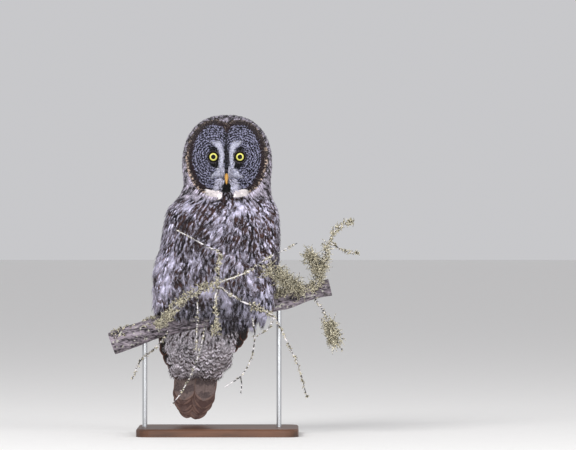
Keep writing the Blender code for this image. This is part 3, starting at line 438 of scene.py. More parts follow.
def node(tree, kind, inputs=None, **settings):
    """Adds a node with its settings, fills its inputs with values or links, and gives its first output."""
    made = tree.nodes.new(kind)
    for key, value in settings.items():
        setattr(made, key, value)
    for key, value in (inputs or {}).items():
        if isinstance(value, bpy.types.NodeSocket):
            tree.links.new(value, made.inputs[key])
        else:
            made.inputs[key].default_value = value
    return made.outputs[0]


def finish(name, roughness, **sockets):
    """A new material, its node tree and its Principled shader, with constant values on the shader's sockets."""
    material = bpy.data.materials.new(name)
    material.use_nodes = True
    shader = material.node_tree.nodes["Principled BSDF"]
    shader.inputs["Roughness"].default_value = roughness
    for key, value in sockets.items():
        shader.inputs[key.replace("_", " ")].default_value = value
    return material, material.node_tree, shader


MATH, MAP, MIX, NOISE = "ShaderNodeMath", "ShaderNodeMapRange", "ShaderNodeMixRGB", "ShaderNodeTexNoise"


def split(tree, attribute):
    """The three parts of a vector attribute."""
    whole = node(tree, "ShaderNodeAttribute", attribute_name=attribute).node.outputs["Vector"]
    return node(tree, "ShaderNodeSeparateXYZ", {0: whole}).node.outputs


def place_noise(tree, millimetres, detail=2.0, stretch=(1, 1, 1)):
    """Noise whose spots are about the given size in millimetres, on the object's own coordinates."""
    here = node(tree, "ShaderNodeTexCoord").node.outputs["Object"]
    spot = node(tree, "ShaderNodeMapping", {"Vector": here, "Scale": stretch})
    return node(tree, NOISE, {"Vector": spot, "Scale": 1000 / millimetres, "Detail": detail})


def plumage(name, pale, dark, streak_width=0.4, bars=3.0, bar_edges=(-0.15, 0.45), warm="#6a4632", warmth=0.3):
    """A feather's finish: pale vane, dark middle streak with a ragged edge, wavy cross bars and flecks.

    streak = 1 - S(|across| + along^2 / 4 + noise), bar = S(sin(2 pi (bars along + noise))). Each is
    taken times its mark, and the darker of the two is taken away from the feather's tone.
    """
    material, tree, shader = finish(name, 0.75, Sheen_Weight=0.06, Sheen_Roughness=0.5)
    shader.inputs["Specular IOR Level"].default_value = 0.2
    across, along, chance = split(tree, "vane")
    streak_mark, bar_mark, tone = split(tree, "mark")
    ragged = place_noise(tree, 5.0, 3.0)
    side = node(tree, MATH, {0: across}, operation="ABSOLUTE")
    side = node(tree, MATH, {0: node(tree, MATH, {0: along, 1: 2.0}, operation="POWER"), 1: 0.25, 2: side}, operation="MULTIPLY_ADD")
    shift = node(tree, MATH, {0: ragged, 1: 0.9, 2: -0.45}, operation="MULTIPLY_ADD")
    edge = node(tree, MATH, {0: side, 1: shift}, operation="ADD")
    streak = node(
        tree, MAP, {0: edge, 1: streak_width + 0.14, 2: streak_width - 0.08}, interpolation_type="SMOOTHSTEP"
    )
    streak = node(tree, MATH, {0: streak, 1: streak_mark}, operation="MULTIPLY")
    arch = node(tree, MATH, {0: node(tree, MATH, {0: across, 1: across}, operation="MULTIPLY"), 1: 0.32, 2: along}, operation="MULTIPLY_ADD")
    wave = node(tree, MATH, {0: arch, 1: bars, 2: chance}, operation="MULTIPLY_ADD")
    wave = node(tree, MATH, {0: ragged, 1: 1.1, 2: wave}, operation="MULTIPLY_ADD")
    wave = node(tree, MATH, {0: wave, 1: 2 * math.pi}, operation="MULTIPLY")
    wave = node(tree, MATH, {0: wave}, operation="SINE")
    bar = node(tree, MAP, {0: wave, 1: bar_edges[0], 2: bar_edges[1]}, interpolation_type="SMOOTHSTEP")
    bar = node(tree, MATH, {0: bar, 1: bar_mark}, operation="MULTIPLY")
    both = node(tree, MATH, {0: streak, 1: bar}, operation="MAXIMUM")
    fine = node(tree, MAP, {0: place_noise(tree, 2.4, 1.0), 1: 0.35, 2: 0.65, 3: -0.12, 4: 0.12})
    both = node(tree, MATH, {0: both, 1: fine}, operation="ADD")
    darker = node(tree, MATH, {0: tone, 1: both}, operation="SUBTRACT")
    value = node(tree, MAP, {0: darker, 1: 0.16, 2: 0.78})
    colour = node(tree, MIX, {0: value, 1: linear(dark), 2: linear(pale)})
    brown = node(tree, MATH, {0: chance, 1: both}, operation="MULTIPLY")
    brown = node(tree, MAP, {0: brown, 1: 0.1, 2: 0.8, 3: 0.0, 4: warmth})
    colour = node(tree, MIX, {0: brown, 1: colour, 2: linear(warm)})
    tree.links.new(colour, shader.inputs["Base Color"])
    return material


def quill_finish(name, pale, dark, edge, bars, contrast, edge_width=0.16, shaft_mix=0.7, ragged_share=0.7):
    """A stiff feather's finish: mottled vane, irregular dark bars, a dark shaft and a pale outer edge.

    mark is (ruddy share, bars, tone).
    """
    material, tree, shader = finish(name, 0.6, Sheen_Weight=0.05)
    shader.inputs["Specular IOR Level"].default_value = 0.3
    across, along, chance = split(tree, "vane")
    ruddy, bar_mark, tone = split(tree, "mark")
    ragged, mottle = place_noise(tree, 9.0, 3.0), place_noise(tree, 3.0, 2.0)
    wave = node(tree, MATH, {0: along, 1: bars, 2: node(tree, MATH, {0: chance, 1: 3.0}, operation="MULTIPLY")}, operation="MULTIPLY_ADD")
    wave = node(tree, MATH, {0: ragged, 1: ragged_share, 2: wave}, operation="MULTIPLY_ADD")
    wave = node(tree, MATH, {0: node(tree, MATH, {0: wave, 1: 2 * math.pi}, operation="MULTIPLY")}, operation="SINE")
    bar = node(tree, MAP, {0: wave, 1: -0.3, 2: 0.6, 4: contrast}, interpolation_type="SMOOTHSTEP")
    bar = node(tree, MATH, {0: bar, 1: bar_mark}, operation="MULTIPLY")
    fine = node(tree, MAP, {0: mottle, 1: 0.3, 2: 0.7, 3: -0.2, 4: 0.2})
    value = node(tree, MATH, {0: tone, 1: bar}, operation="SUBTRACT")
    value = node(tree, MATH, {0: value, 1: fine}, operation="ADD", use_clamp=True)
    colour = node(tree, MIX, {0: value, 1: linear(dark), 2: linear(pale)})
    side = node(tree, MATH, {0: across}, operation="ABSOLUTE")
    far = node(tree, MATH, {0: side, 1: node(tree, MAP, {0: along, 1: 0.9, 2: 1.0, 4: 0.6})}, operation="ADD")
    rim = node(tree, MATH, {0: ragged, 1: 0.2, 2: far}, operation="MULTIPLY_ADD")
    rim = node(tree, MAP, {0: rim, 1: 1.1 - edge_width * 1.4, 2: 1.1, 4: 0.75}, interpolation_type="SMOOTHSTEP")
    colour = node(tree, MIX, {0: rim, 1: colour, 2: linear(edge)})
    shaft = node(tree, MAP, {0: side, 1: 0.07, 2: 0.03, 4: shaft_mix})
    colour = node(tree, MIX, {0: shaft, 1: colour, 2: linear("#2a1f1d")})
    colour = node(tree, MIX, {0: ruddy, 1: colour, 2: linear("#64463c")})
    tree.links.new(colour, shader.inputs["Base Color"])
    return material


# %% [markdown]
# ## Feather finishes
# Great greys have no bright feathers. Each body feather is a soft, pale lavender grey with a
# ragged sooty-brown streak down its middle, and fine wavy bars towards its edge. The same finish
# therefore serves breast, crown, back, wings and tail with other colours and widths. Feathers are
# matt with a faint sheen of their loose barbs, and have no clear gloss.

# %% Plumage materials
PALE, SOOT = "#ebe6ff", "#1a1319"
breast_finish = plumage("breast_feather_streaked", PALE, SOOT, 0.42, 1.6, warm="#6f4e46", warmth=0.42)
belly_finish = plumage("belly_down_feather_slate", "#dedbf4", "#15141f", 0.42, 1.2, warm="#5f4640", warmth=0.25)
shoulder_finish = plumage("shoulder_feather_spotted", "#f1ebff", "#191319", 0.3, 3.2, (0.0, 0.4), "#6f4e46", 0.3)
crown_finish = plumage("crown_feather_spotted", "#e4dbee", "#0c070b", 0.34, 1.4, warmth=0.15)
back_finish = plumage("back_feather_sooty", "#d8cfe0", "#1f191d", 0.45, 2.6, (-0.05, 0.4), warmth=0.15)
vent_finish = plumage("under_tail_feather_barred", "#fcf5ff", "#0f090f", 0.3, 3.4, (-0.02, 0.18), "#694840", 0.35)
ruff_finish = plumage("ruff_feather_sooty", "#f8decb", "#22131a", 0.5, 1.5, warm="#5a3c33", warmth=0.3)
beard_finish = plumage("beard_feather_white", "#fff7f8", "#c9c2cc", 0.1, 1.0, warm="#c9bec0", warmth=0.1)
bristle_finish = plumage("bristle_feather_pale", "#d9d8ec", "#2b2a36", 0.2, 1.0, warmth=0.0)
bib_finish = plumage("bib_feather_black", "#2c282e", "#0a080a", 0.5, 1.0, warmth=0.0)
wing_finish = quill_finish("wing_quill_banded", "#aa9ea8", "#3a2f32", "#c0b5bf", 7.0, 0.6, 0.12, 0.6, 0.8)
tail_finish = quill_finish("tail_quill_mottled", "#7d6c68", "#30252a", "#876e65", 6.0, 0.45, 0.08, 0.3, 1.2)
# The wing-tip finish's near-black is partly the quills' own dark colour and partly painted shade, standing in for the
# shadow in the gap between tail and wings.
primary_finish = quill_finish("wing_tip_quill_dark_with_painted_shade", "#3a2a27", "#0e0b0b", "#6b4133", 4.0, 0.3, 0.3)


def face_plumage():
    """The disc's finish: thin dark rings round each eye, 5 mm apart, that break into dashes.

    ring = S(sin(2 pi r / 5 mm + feather's own shift + noise)); mark is (pale, black, brown).
    """
    material, tree, shader = finish("disc_feather_ringed", 0.75, Sheen_Weight=0.05)
    shader.inputs["Specular IOR Level"].default_value = 0.15
    radius = node(tree, "ShaderNodeAttribute", attribute_name="ring").node.outputs["Fac"]
    pale, black, brown = split(tree, "mark")
    _, _, chance = split(tree, "vane")
    turn = node(tree, MATH, {0: radius, 1: 2 * math.pi / (5.2 * MM)}, operation="MULTIPLY")
    turn = node(tree, MATH, {0: place_noise(tree, 10.0, 2.0), 1: 9.0, 2: turn}, operation="MULTIPLY_ADD")
    turn = node(tree, MATH, {0: place_noise(tree, 4.0, 1.0), 1: 2.5, 2: turn}, operation="MULTIPLY_ADD")
    turn = node(tree, MATH, {0: chance, 1: 2.6, 2: turn}, operation="MULTIPLY_ADD")
    wave = node(tree, MATH, {0: turn}, operation="SINE")
    dashes = node(tree, MAP, {0: place_noise(tree, 2.8, 1.0), 1: 0.3, 2: 0.7, 3: -1.7, 4: 1.7})
    wave = node(tree, MATH, {0: wave, 1: dashes}, operation="ADD")
    value = node(tree, MAP, {0: wave, 1: -0.2, 2: 1.3}, interpolation_type="SMOOTHSTEP")
    colour = node(tree, MIX, {0: value, 1: linear("#110f17"), 2: linear("#a8a8c6")})
    hairs = node(tree, MAP, {0: place_noise(tree, 2.5, 2.0), 1: 0.3, 2: 0.7})
    hairs = node(tree, MIX, {0: hairs, 1: linear("#9b9cba"), 2: linear("#f3f3ff")})
    colour = node(tree, MIX, {0: pale, 1: colour, 2: hairs})
    colour = node(tree, MIX, {0: brown, 1: colour, 2: linear("#3b2b2a")})
    colour = node(tree, MIX, {0: black, 1: colour, 2: linear("#0b090c")})
    tree.links.new(colour, shader.inputs["Base Color"])
    return material


face_finish = face_plumage()
print("plumage materials made")

# %% [markdown]
# ## The skin
# Between and under the feathers the body itself must close the form, or light would shine through.
# Here it is one closed skin that lies inside the coat by the feathers' depth. Body, vent, legs and
# toes are made as separate closed forms that overlap, and a voxel remesh melts them into one skin
# without seams. The skin carries the dark ground colour of the feathers' roots.

# %% Perch line, legs and toes
PERCH_LINE = (
    np.array(
        [
            # x, height and radius of the branch, left end to right end
            (-218, 187, 23.5),
            (-150, 211, 23),
            (-107, 224.8, 22),
            (-63.6, 234.2, 22),
            (-18.5, 243, 22),
            (45, 257, 21.5),
            (107, 271, 20.5),
            (146, 279, 19.5),
            (168, 286, 18.5),
            (209, 297.5, 17),
            (230, 302.5, 17.5),
        ]
    )
    * MM
)
LEG_PLACES = {"left": 38 * MM, "right": -48 * MM}
TOE_RADIUS = 6.5 * MM
TOES = {"toe_inner": (9 * MM, 1), "toe_middle": (-9 * MM, 1), "toe_outer": (-10 * MM, -1), "toe_hind": (8 * MM, -1)}


def perch_middle(x):
    return smooth(PERCH_LINE[:, 0], PERCH_LINE[:, 1], x)


def perch_radius(x):
    return smooth(PERCH_LINE[:, 0], PERCH_LINE[:, 2], x)


def carried_frame(path):
    """Unit side and upper directions along a path, each turned as little as it can from the one before."""
    heading = unit(np.gradient(path, axis=0))
    reference = np.array([0.0, 1.0, 0.0]) if abs(heading[0, 1]) < 0.9 else np.array([1.0, 0.0, 0.0])
    sides, uppers = [], []
    for ahead in heading:
        side = unit(np.cross(ahead, reference))
        reference = np.cross(side, ahead)
        sides.append(side)
        uppers.append(reference)
    return np.array(sides), np.array(uppers)


def tube(path, radii, sides):
    """A closed tube of given radius along a path, radii (rows,) or (rows, sides)."""
    path = np.asarray(path, float)
    side, upper = carried_frame(path)
    turn = np.arange(sides) * 2 * math.pi / sides
    radii = np.broadcast_to(np.asarray(radii, float).reshape(len(path), -1), (len(path), sides))
    out = np.cos(turn)[None, :, None] * side[:, None] + np.sin(turn)[None, :, None] * upper[:, None]
    return lathe(path[:, None] + radii[..., None] * out)


def toe_point(x, turn, reach):
    """A point beside the perch, turn degrees from its top to the front, reach from its middle line."""
    step = 2 * MM
    along = unit(np.array([2 * step, 0, perch_middle(x + step) - perch_middle(x - step)]))
    up = np.cross([0, -1.0, 0], along)
    angle = math.radians(turn)
    return np.array([x, 0, perch_middle(x)]) + reach * (math.sin(angle) * np.array([0, -1.0, 0]) + math.cos(angle) * up)


def toe_path(x, offset, ahead, reach, first, last, rise, count=9):
    """Points of a toe or claw from angle first to last, sliding along the perch by its offset."""
    share = np.linspace(0, 1, count)
    spots = x + offset * (0.45 + 0.75 * share)
    return np.array([toe_point(spot, ahead * (first + (last - first) * u), reach + r) for spot, u, r in zip(spots, share, rise)])


# %% The skin in one piece
VENT_LEVELS = np.array(
    [
        # height, middle x, half width, front y, back y
        (110, -46, 34, 62, 76),
        (134, -42, 49, 50, 70),
        (156, -38, 61, 40, 68),
        (190, -35, 68, 34, 65),
        (215, -36, 70, 34, 62),
        (262, -20, 76, 35, 58),
        (300, -8, 78, 36, 57),
    ]
) * MM
BODY_SINK = 9 * MM
FACE_SINK = 3.5 * MM


def body_rings():
    """The coat's surface moved inward by 9 mm, by 3.5 mm in the face, from the belly's hem to the crown."""
    z = np.concatenate([np.linspace(262 * MM, HEAD_MID_Z, 90)[:-1], HEAD_MID_Z + (CROWN_Z - HEAD_MID_Z) * np.sin(np.linspace(0, 1, 50) * math.pi / 2) * 0.9998])
    phi = np.arange(120) * 3.0
    z, phi = np.meshgrid(z, phi, indexing="ij")
    in_front = np.clip(np.cos(np.radians(phi)) * 2, 0, 1) * ramp(480 * MM, 505 * MM, z)
    sink = BODY_SINK + (FACE_SINK - BODY_SINK) * in_front
    return coat_point(z, phi, -sink)


def vent_rings(shrink):
    """The vent's rings: rounded boxes through its levels, their sides moved in by shrink."""
    z = np.linspace(VENT_LEVELS[0, 0] + shrink, 285 * MM, 40)
    x, half, front, back = (smooth(VENT_LEVELS[:, 0], VENT_LEVELS[:, k], z)[:, None] for k in (1, 2, 3, 4))
    turn = np.arange(72) * math.pi / 36
    s, c = np.sin(turn), np.cos(turn)
    ring_x = x + (half - shrink) * np.sign(s) * np.abs(s) ** 0.8
    ring_y = (front + back) / 2 - ((back - front) / 2 - shrink * 0.5) * np.sign(c) * np.abs(c) ** 0.8
    return np.stack([ring_x, ring_y, np.broadcast_to(z[:, None], ring_x.shape)], axis=-1)


def leg_forms():
    """Thighs, foot pads and toes as closed forms."""
    forms = []
    turn = np.arange(32) * math.pi / 16
    for x in LEG_PLACES.values():
        reach = perch_radius(x) + 1 * MM
        foot = toe_point(x, 0, reach + 4 * MM)
        levels = ((0, 11, 11), (6, 14, 14), (20, 20, 20), (60, 24, 30))
        rings = [
            np.stack([x + w * MM * np.cos(turn), d * MM * np.sin(turn), np.full(32, foot[2] + u * MM)], axis=-1)
            for u, w, d in levels
        ]
        forms.append(lathe(np.array(rings)))
        for offset, ahead in TOES.values():
            radius = (TOE_RADIUS - 1 * MM) * (1 - 0.22 * np.linspace(0, 1, 9))
            forms.append(tube(toe_path(x, offset, ahead, reach, 6, 62, radius), radius, 16))
    return forms


def skin_finish():
    """Down between the feathers: sooty grey, mottled at 6 mm."""
    material, tree, shader = finish("down_sooty_grey", 0.9)
    mottle = place_noise(tree, 6.0, 3.0)
    colour = node(tree, MIX, {0: mottle, 1: linear("#2c2428"), 2: linear("#6f6870")})
    tree.links.new(colour, shader.inputs["Base Color"])
    return material


def melt(name, parts, voxel):
    """Overlapping closed forms as one closed mesh: a voxel remesh keeps only their common outside."""
    points, faces = together(parts)
    mesh = bpy.data.meshes.new(name)
    mesh.from_pydata(points.tolist(), [], [f for array in faces for f in array.tolist()])
    rough = bpy.data.objects.new(name, mesh)
    bpy.context.scene.collection.objects.link(rough)
    remesh = rough.modifiers.new("melt", "REMESH")
    remesh.mode = "VOXEL"
    remesh.voxel_size = voxel
    bpy.context.view_layer.update()
    melted = bpy.data.meshes.new_from_object(rough.evaluated_get(bpy.context.evaluated_depsgraph_get()))
    bpy.data.objects.remove(rough)
    count = len(melted.vertices)
    points = np.zeros(count * 3, np.float32)
    melted.vertices.foreach_get("co", points)
    corners = np.zeros(len(melted.loops), np.int32)
    melted.loops.foreach_get("vertex_index", corners)
    bpy.data.meshes.remove(melted)
    return points.reshape(-1, 3).astype(float), [corners.reshape(-1, 4)]


skin_points, skin_faces = melt("skin_form", [lathe(body_rings()), lathe(vent_rings(3 * MM)), *leg_forms()], 3 * MM)
LEGS_AND_FEET = [f"{part}_{side}" for part in ("leg", "foot") for side in ("left", "right")]
skin = mesh_piece(
    "skin", skin_points, skin_faces, skin_finish(), "plumage",
    ["torso", "neck", "head", "under_tail_coverts", *LEGS_AND_FEET],
)

# %% [markdown]
# ## Breast and belly
# The breast's feathers hang down in loose rows, each a soft grey leaf with a dark streak. They could
# be painted on the skin, but the outline would be smooth, so they are laid one by one. Their places
# are spread evenly, their direction is straight down with a swirl on the upper breast, and the
# strength of the streaks changes over the body.


# %% Breast and belly feathers
def flow(points, normals):
    """The lie of the body feathers: down, turned to the owl's right on the upper breast."""
    lie = np.tile([0.0, 0.0, -1.0], (len(points), 1))
    ahead = ramp(0.1, -0.5, normals[:, 1])
    near = np.exp(-(((points[:, 0] - 5 * MM) / (50 * MM)) ** 2) - ((points[:, 2] - 440 * MM) / (55 * MM)) ** 2)
    lie[:, 0] -= 0.8 * near * ahead
    fan_out = np.exp(-(((points[:, 2] - 492 * MM) / (22 * MM)) ** 2)) * ahead
    lie[:, 0] += 0.9 * np.clip((points[:, 0] - HEAD_X) / (60 * MM), -1, 1) * fan_out
    return lie + 0.16 * rng.normal(0, 1, lie.shape)


def wing_height(points):
    """How far the folded wing stands over the coat: 0 on the breast, 8 mm over the wing, smooth between."""
    phi = np.abs(angle_round(points))
    z = points[:, 2]
    return 8 * MM * ramp(50, 64, phi) * ramp(179, 158, phi) * ramp(486 * MM, 442 * MM, z)


def breast_marks(points):
    """Streak, bar and tone, from the feathers' places.

    The owl's right upper breast is darker, a pale band crosses it, the flanks are pale and the lower
    belly is sooty. Blotches of about 14 by 26 mm vary all of it.
    """
    x, z = points[:, 0] / MM, points[:, 2] / MM
    dark_patch = np.exp(-(((x + 26) / 26) ** 2) - ((z - 437) / 40) ** 2)
    pale_band = np.exp(-(((x - 22 - 0.6 * (z - 440)) / 14) ** 2) - ((z - 440) / 50) ** 2)
    flank = ramp(62, 88, np.abs(x)) * ramp(250, 300, z) * np.where(x > 0, 3.6, 1.0)
    blobs = np.exp(-(((x + 72) / 22) ** 2) - ((z - 345) / 50) ** 2)
    low = ramp(325, 290, z) * ramp(-75, -45, x) * ramp(75, 45, x)
    blotch = spots(points, np.array([12, 40, 24]) * MM) - 0.5
    chance = rng.random(len(x))
    streak = 1.0 - 0.45 * pale_band - 0.25 * low + 0.5 * blotch + 0.15 * dark_patch
    streak = np.clip(streak, 0, 1) * (0.6 + 0.4 * chance)
    bar = 0.25 + 0.35 * rng.random(len(x)) + 0.25 * flank
    upper = ramp(385, 430, z) * ramp(95, 70, np.abs(x))
    tone = 0.87 - 0.12 * ramp(462, 490, z) - 0.17 * upper - 0.2 * dark_patch + 0.2 * pale_band + 0.08 * blobs + 0.08 * flank - 0.11 * low
    tone = tone - 1.1 * blotch + rng.normal(0, 0.1, len(x))
    return np.stack([streak, bar, tone], axis=-1)


def perch_top(x):
    return perch_middle(x) + perch_radius(x)


def body_set(low, high, first, last, spacing, seed, length, width, strips, marks, pick=None, rise=0.0):
    """One set of body feathers between two heights and two angles, raised over the folded wings."""
    roots, normals = even_places(low, high, first, last, spacing, seed)
    if pick is not None:
        keep = pick(roots)
        roots, normals = roots[keep], normals[keep]
    size = 1 - 0.35 * ramp(440 * MM, 520 * MM, roots[:, 2])
    tips = roots - np.array([0, 0, 0.8]) * (length * size)[:, None]
    lift = (wing_height(roots) - 7 * MM, wing_height(tips) + rise)
    return lay(roots, normals, flow(roots, normals), length * size, width * size, lift, strips, marks(roots))


def over_perch(points):
    """The belly's feathers are rooted 20 mm over the perch, and to the sides of it where it ends."""
    return (points[:, 2] > perch_top(points[:, 0]) + 14 * MM) & (np.abs(angle_round(points)) < 82)


breast = body_set(272 * MM, 520 * MM, -90, 90, 8.6 * MM, 0, 34 * MM, 19 * MM, 9, breast_marks, over_perch, 0.5 * MM)
fringes = [body_set(280 * MM, 400 * MM, *sorted((side * 80, side * 100)), 13 * MM, 55, 36 * MM, 12 * MM, 5, breast_marks, None, 4 * MM) for side in (1, -1)]
coat_piece("breast_feathers", [breast, *fringes], breast_finish, "plumage")


def hanging(points):
    """Where the belly's long feathers hang over the front of the perch."""
    x = points[:, 0] / MM
    height = points[:, 2] - perch_middle(points[:, 0])
    low = -24 * MM + 12 * MM * ramp(85, 112, x) + 48 * MM * ramp(5, -18, x) + 6 * MM * np.sin(x / 4)
    edge = 106 + 7 * np.sin(points[:, 2] / (3 * MM))
    return (points[:, 1] < 0) & (x > -90) & (x < edge) & (height > low) & (height < 44 * MM)


apron = body_set(225 * MM, 330 * MM, -60, 80, 8.2 * MM, 90, 36 * MM, 17 * MM, 9, breast_marks, hanging, 1.5 * MM)
coat_piece("belly_feathers_over_perch", [apron], belly_finish, "plumage")


# %% Back and shoulder feathers
def back_marks(points):
    """Sooty grey with streaks and bars; blotches vary it, and the shoulders are spotted with white."""
    phi, z = np.abs(angle_round(points)), points[:, 2] / MM
    blotch = spots(points, np.array([16, 16, 26]) * MM, 5.0) - 0.5
    shoulder = ramp(130, 100, phi) * ramp(380, 430, z)
    chance = rng.random(len(phi))
    streak = np.clip(0.75 + 0.25 * chance - 0.25 * shoulder, 0, 1)
    bar = (0.6 + 0.3 * rng.random(len(phi))) * (0.35 + 0.65 * shoulder)
    tone = 0.76 + 0.12 * shoulder - 0.55 * blotch + rng.normal(0, 0.08, len(phi))
    return np.stack([streak, bar, tone], axis=-1)


sets = [
    body_set(372 * MM, 505 * MM, *sorted((side * 78, side * 180)), 9 * MM, 40, 42 * MM, 22 * MM, 9, back_marks, None, 1.5 * MM)
    for side in (1, -1)
]
coat_piece("shoulder_and_mantle_feathers", sets, shoulder_finish, "plumage")
rump = body_set(272 * MM, 385 * MM, 148, 212, 9 * MM, 70, 40 * MM, 20 * MM, 9, back_marks, None, 5 * MM)
coat_piece("rump_feathers", [rump], back_finish, "plumage")

# %% [markdown]
# ## Crown, nape and cheeks
# Behind the face the head carries short, dense feathers that sweep from the forehead over the crown
# and down the nape. Their direction at any place is simply away from the face, bent downward
# the farther back they are, so one rule serves the whole head.

# %% Head feathers
def face_place(points):
    """Sideways and upward distance of points from the middle between the eyes."""
    return points[..., 0] - HEAD_X, points[..., 2] - EYE_Z


def disc_share(x, z):
    """0 in the middle of each half of the facial disc and 1 at its rim: two overlapping ellipses."""
    return np.hypot((np.abs(x) - 27 * MM) / (46 * MM), z / (67 * MM))


def eye_distance(points):
    """Distance of points from the nearer eye's axis."""
    x, z = face_place(points)
    return np.hypot(np.abs(x) - EYE_SPREAD, z)


def head_marks(points):
    """Dark crown with pale spots and paler cheeks; the spots are 4 mm wide and drawn out to the back."""
    x, z = face_place(points)
    top = ramp(30 * MM, 70 * MM, z)
    blotch = spots(points, np.array([4, 11, 5]) * MM, 9.0) - 0.5
    pale = blotch + rng.normal(0, 0.15, len(x)) > -0.03 + 0.07 * top
    tone = np.where(pale, 1.0, 0.36 + 0.06 * top) - 0.08 * top + 0.2 * blotch + rng.normal(0, 0.06, len(x))
    return np.stack([np.where(pale, 0.6, 0.9), np.full(len(x), 0.35), tone], axis=-1)


roots, normals = even_places(494 * MM, CROWN_Z - 0.02 * MM, -180, 180, 5.1 * MM, 7)
x, z = face_place(roots)
rim = np.hypot((np.abs(x) - 27 * MM) / (50 * MM), z / (70 * MM))
chin = (np.abs(x + 2 * MM) < 8 * MM) & (z < -40 * MM)
keep = ((rim > 1) & ~chin) | (roots[:, 1] > -10 * MM)
roots, normals, rim = roots[keep], normals[keep], ramp(1.3, 1.02, rim[keep]) * (roots[keep, 1] < -10 * MM)
away = unit(roots - np.array([HEAD_X, -95 * MM, EYE_Z]))
behind = ramp(-40 * MM, 60 * MM, roots[:, 1])[:, None]
lie = away - np.array([0, 0, 0.25]) - np.array([0, 0, 1.1]) * behind
long = 14 * MM + 10 * MM * ramp(560 * MM, 500 * MM, roots[:, 2])
near_face = np.clip(-2 * normals[:, 1], 0, 1)
lift = (-6 * MM + 4 * MM * near_face + 1 * MM * rim, 0.5 * MM + 2 * MM * rim)
crown = lay(roots, normals, lie, long, 8.5 * MM, lift, 7, head_marks(roots), loose=0.2)
coat_piece("crown_and_nape_feathers", [crown], crown_finish, "plumage")

# %% [markdown]
# ## The facial disc
# The disc is a sound mirror: fine, stiff feathers that radiate from each eye. Each has narrow dark
# bars, and because neighbours' bars line up, they make rings round the eyes. The distance from the
# nearer eye is stored at each point, and the finish draws the rings from it. Two pale crescents
# of hair-like feathers stand between the eyes, with a dark line between them.


# %% Facial disc feathers
def crescent(x, z):
    """1 inside the pale crescents: from 5.5 mm beside the midline out to a curve that widens up and down."""
    outer = 15.5 * MM + np.where(z > 0, 26, 14) * z**2
    inner = 5 * MM + np.where(z > 0, 10, 3) * z**2
    x = np.abs(x)
    inside = ramp(inner - 1.5 * MM, inner + 1.5 * MM, x) * ramp(outer + 2 * MM, outer - 2.5 * MM, x)
    return inside * ramp(-40 * MM, -30 * MM, z) * ramp(29 * MM, 20 * MM, z)


def face_marks(points):
    """Pale, black and brown shares: black round the eyes and on the midline, brown at the rim."""
    x, z = face_place(points)
    ragged = spots(points, np.array([5, 5, 5]) * MM, 3.0) - 0.5
    patch = np.hypot((np.abs(x) - 25.5 * MM - 0.22 * z) / (11 * MM), (z + 2 * MM) / (19 * MM))
    black = ramp(1.12, 0.85, patch + 0.35 * ragged) * (1 - 0.5 * ramp(30 * MM, 35 * MM, np.abs(x)))
    half = 0.8 * MM + 1.9 * MM * ramp(22 * MM, 2 * MM, z)
    midline = ramp(half + 1.6 * MM, half, np.abs(x) + 2 * MM * ragged) * ramp(-34 * MM, -26 * MM, z)
    brown = ramp(0.92, 1.0, disc_share(x, z) + 0.06 * ragged) * 0.95
    return np.stack([crescent(x, z) * (1 - black), np.maximum(black, 0.9 * midline * (0.55 + 0.45 * ramp(30 * MM, 15 * MM, z))), brown], axis=-1)


def face_flow(points):
    """Away from the nearer eye; between the eyes upward, and beside the bill outward and down."""
    x, z = face_place(points)
    side = np.where(x < 0, -1.0, 1.0)
    lie = np.stack([x - side * EYE_SPREAD, np.zeros_like(x), z], axis=-1)
    lie = unit(lie + 1e-6)
    between = (ramp(20 * MM, 12 * MM, np.abs(x)) * ramp(-34 * MM, -22 * MM, z))[:, None]
    upward = np.stack([0.35 * side, np.zeros_like(x), np.ones_like(x)], axis=-1)
    lie = lie * (1 - between) + upward * between
    below = (ramp(34 * MM, 20 * MM, np.abs(x)) * ramp(-24 * MM, -36 * MM, z))[:, None]
    outward = np.stack([0.75 * side, np.zeros_like(x), -0.8 * np.ones_like(x)], axis=-1)
    return lie * (1 - below) + outward * below


roots, normals = even_places(488 * MM, 640 * MM, -75, 75, 2.35 * MM, 3)
x, z = face_place(roots)
keep = (disc_share(x, z) < 1.02) & (eye_distance(roots) > EYE_RADIUS + 0.5 * MM)
roots, normals = roots[keep], normals[keep]
x, z = face_place(roots)
size = 0.7 + 0.3 * ramp(12 * MM, 30 * MM, eye_distance(roots))
face = lay(
    roots, normals, face_flow(roots), 10 * MM * size, 4.4 * MM * size, (-3 * MM, 0.4 * MM), 3,
    face_marks(roots), ring=eye_distance, loose=0.08, thick=0.3,
)
coat_piece("facial_disc_feathers", [face], face_finish, "face")

# %% Ruff, beard and bib
def on_disc(x, z):
    """Coat points and normals for places x, z from the middle between the eyes."""
    return onto_coat(np.stack([HEAD_X + x, np.full_like(x, -90 * MM), EYE_Z + z], axis=-1), 8)


def seen_from_front(x, z):
    """Coat points and normals straight behind x, z: Newton's method on y alone."""
    points = np.stack([HEAD_X + x, np.full_like(x, -60 * MM), EYE_Z + z], axis=-1)
    step = np.array([0, 0.3 * MM, 0])
    for _ in range(14):
        value = coat_value(points)
        slope = (coat_value(points + step) - value) / step[1]
        points[:, 1] -= np.clip(value / slope, -8 * MM, 8 * MM)
    return onto_coat(points, 1)


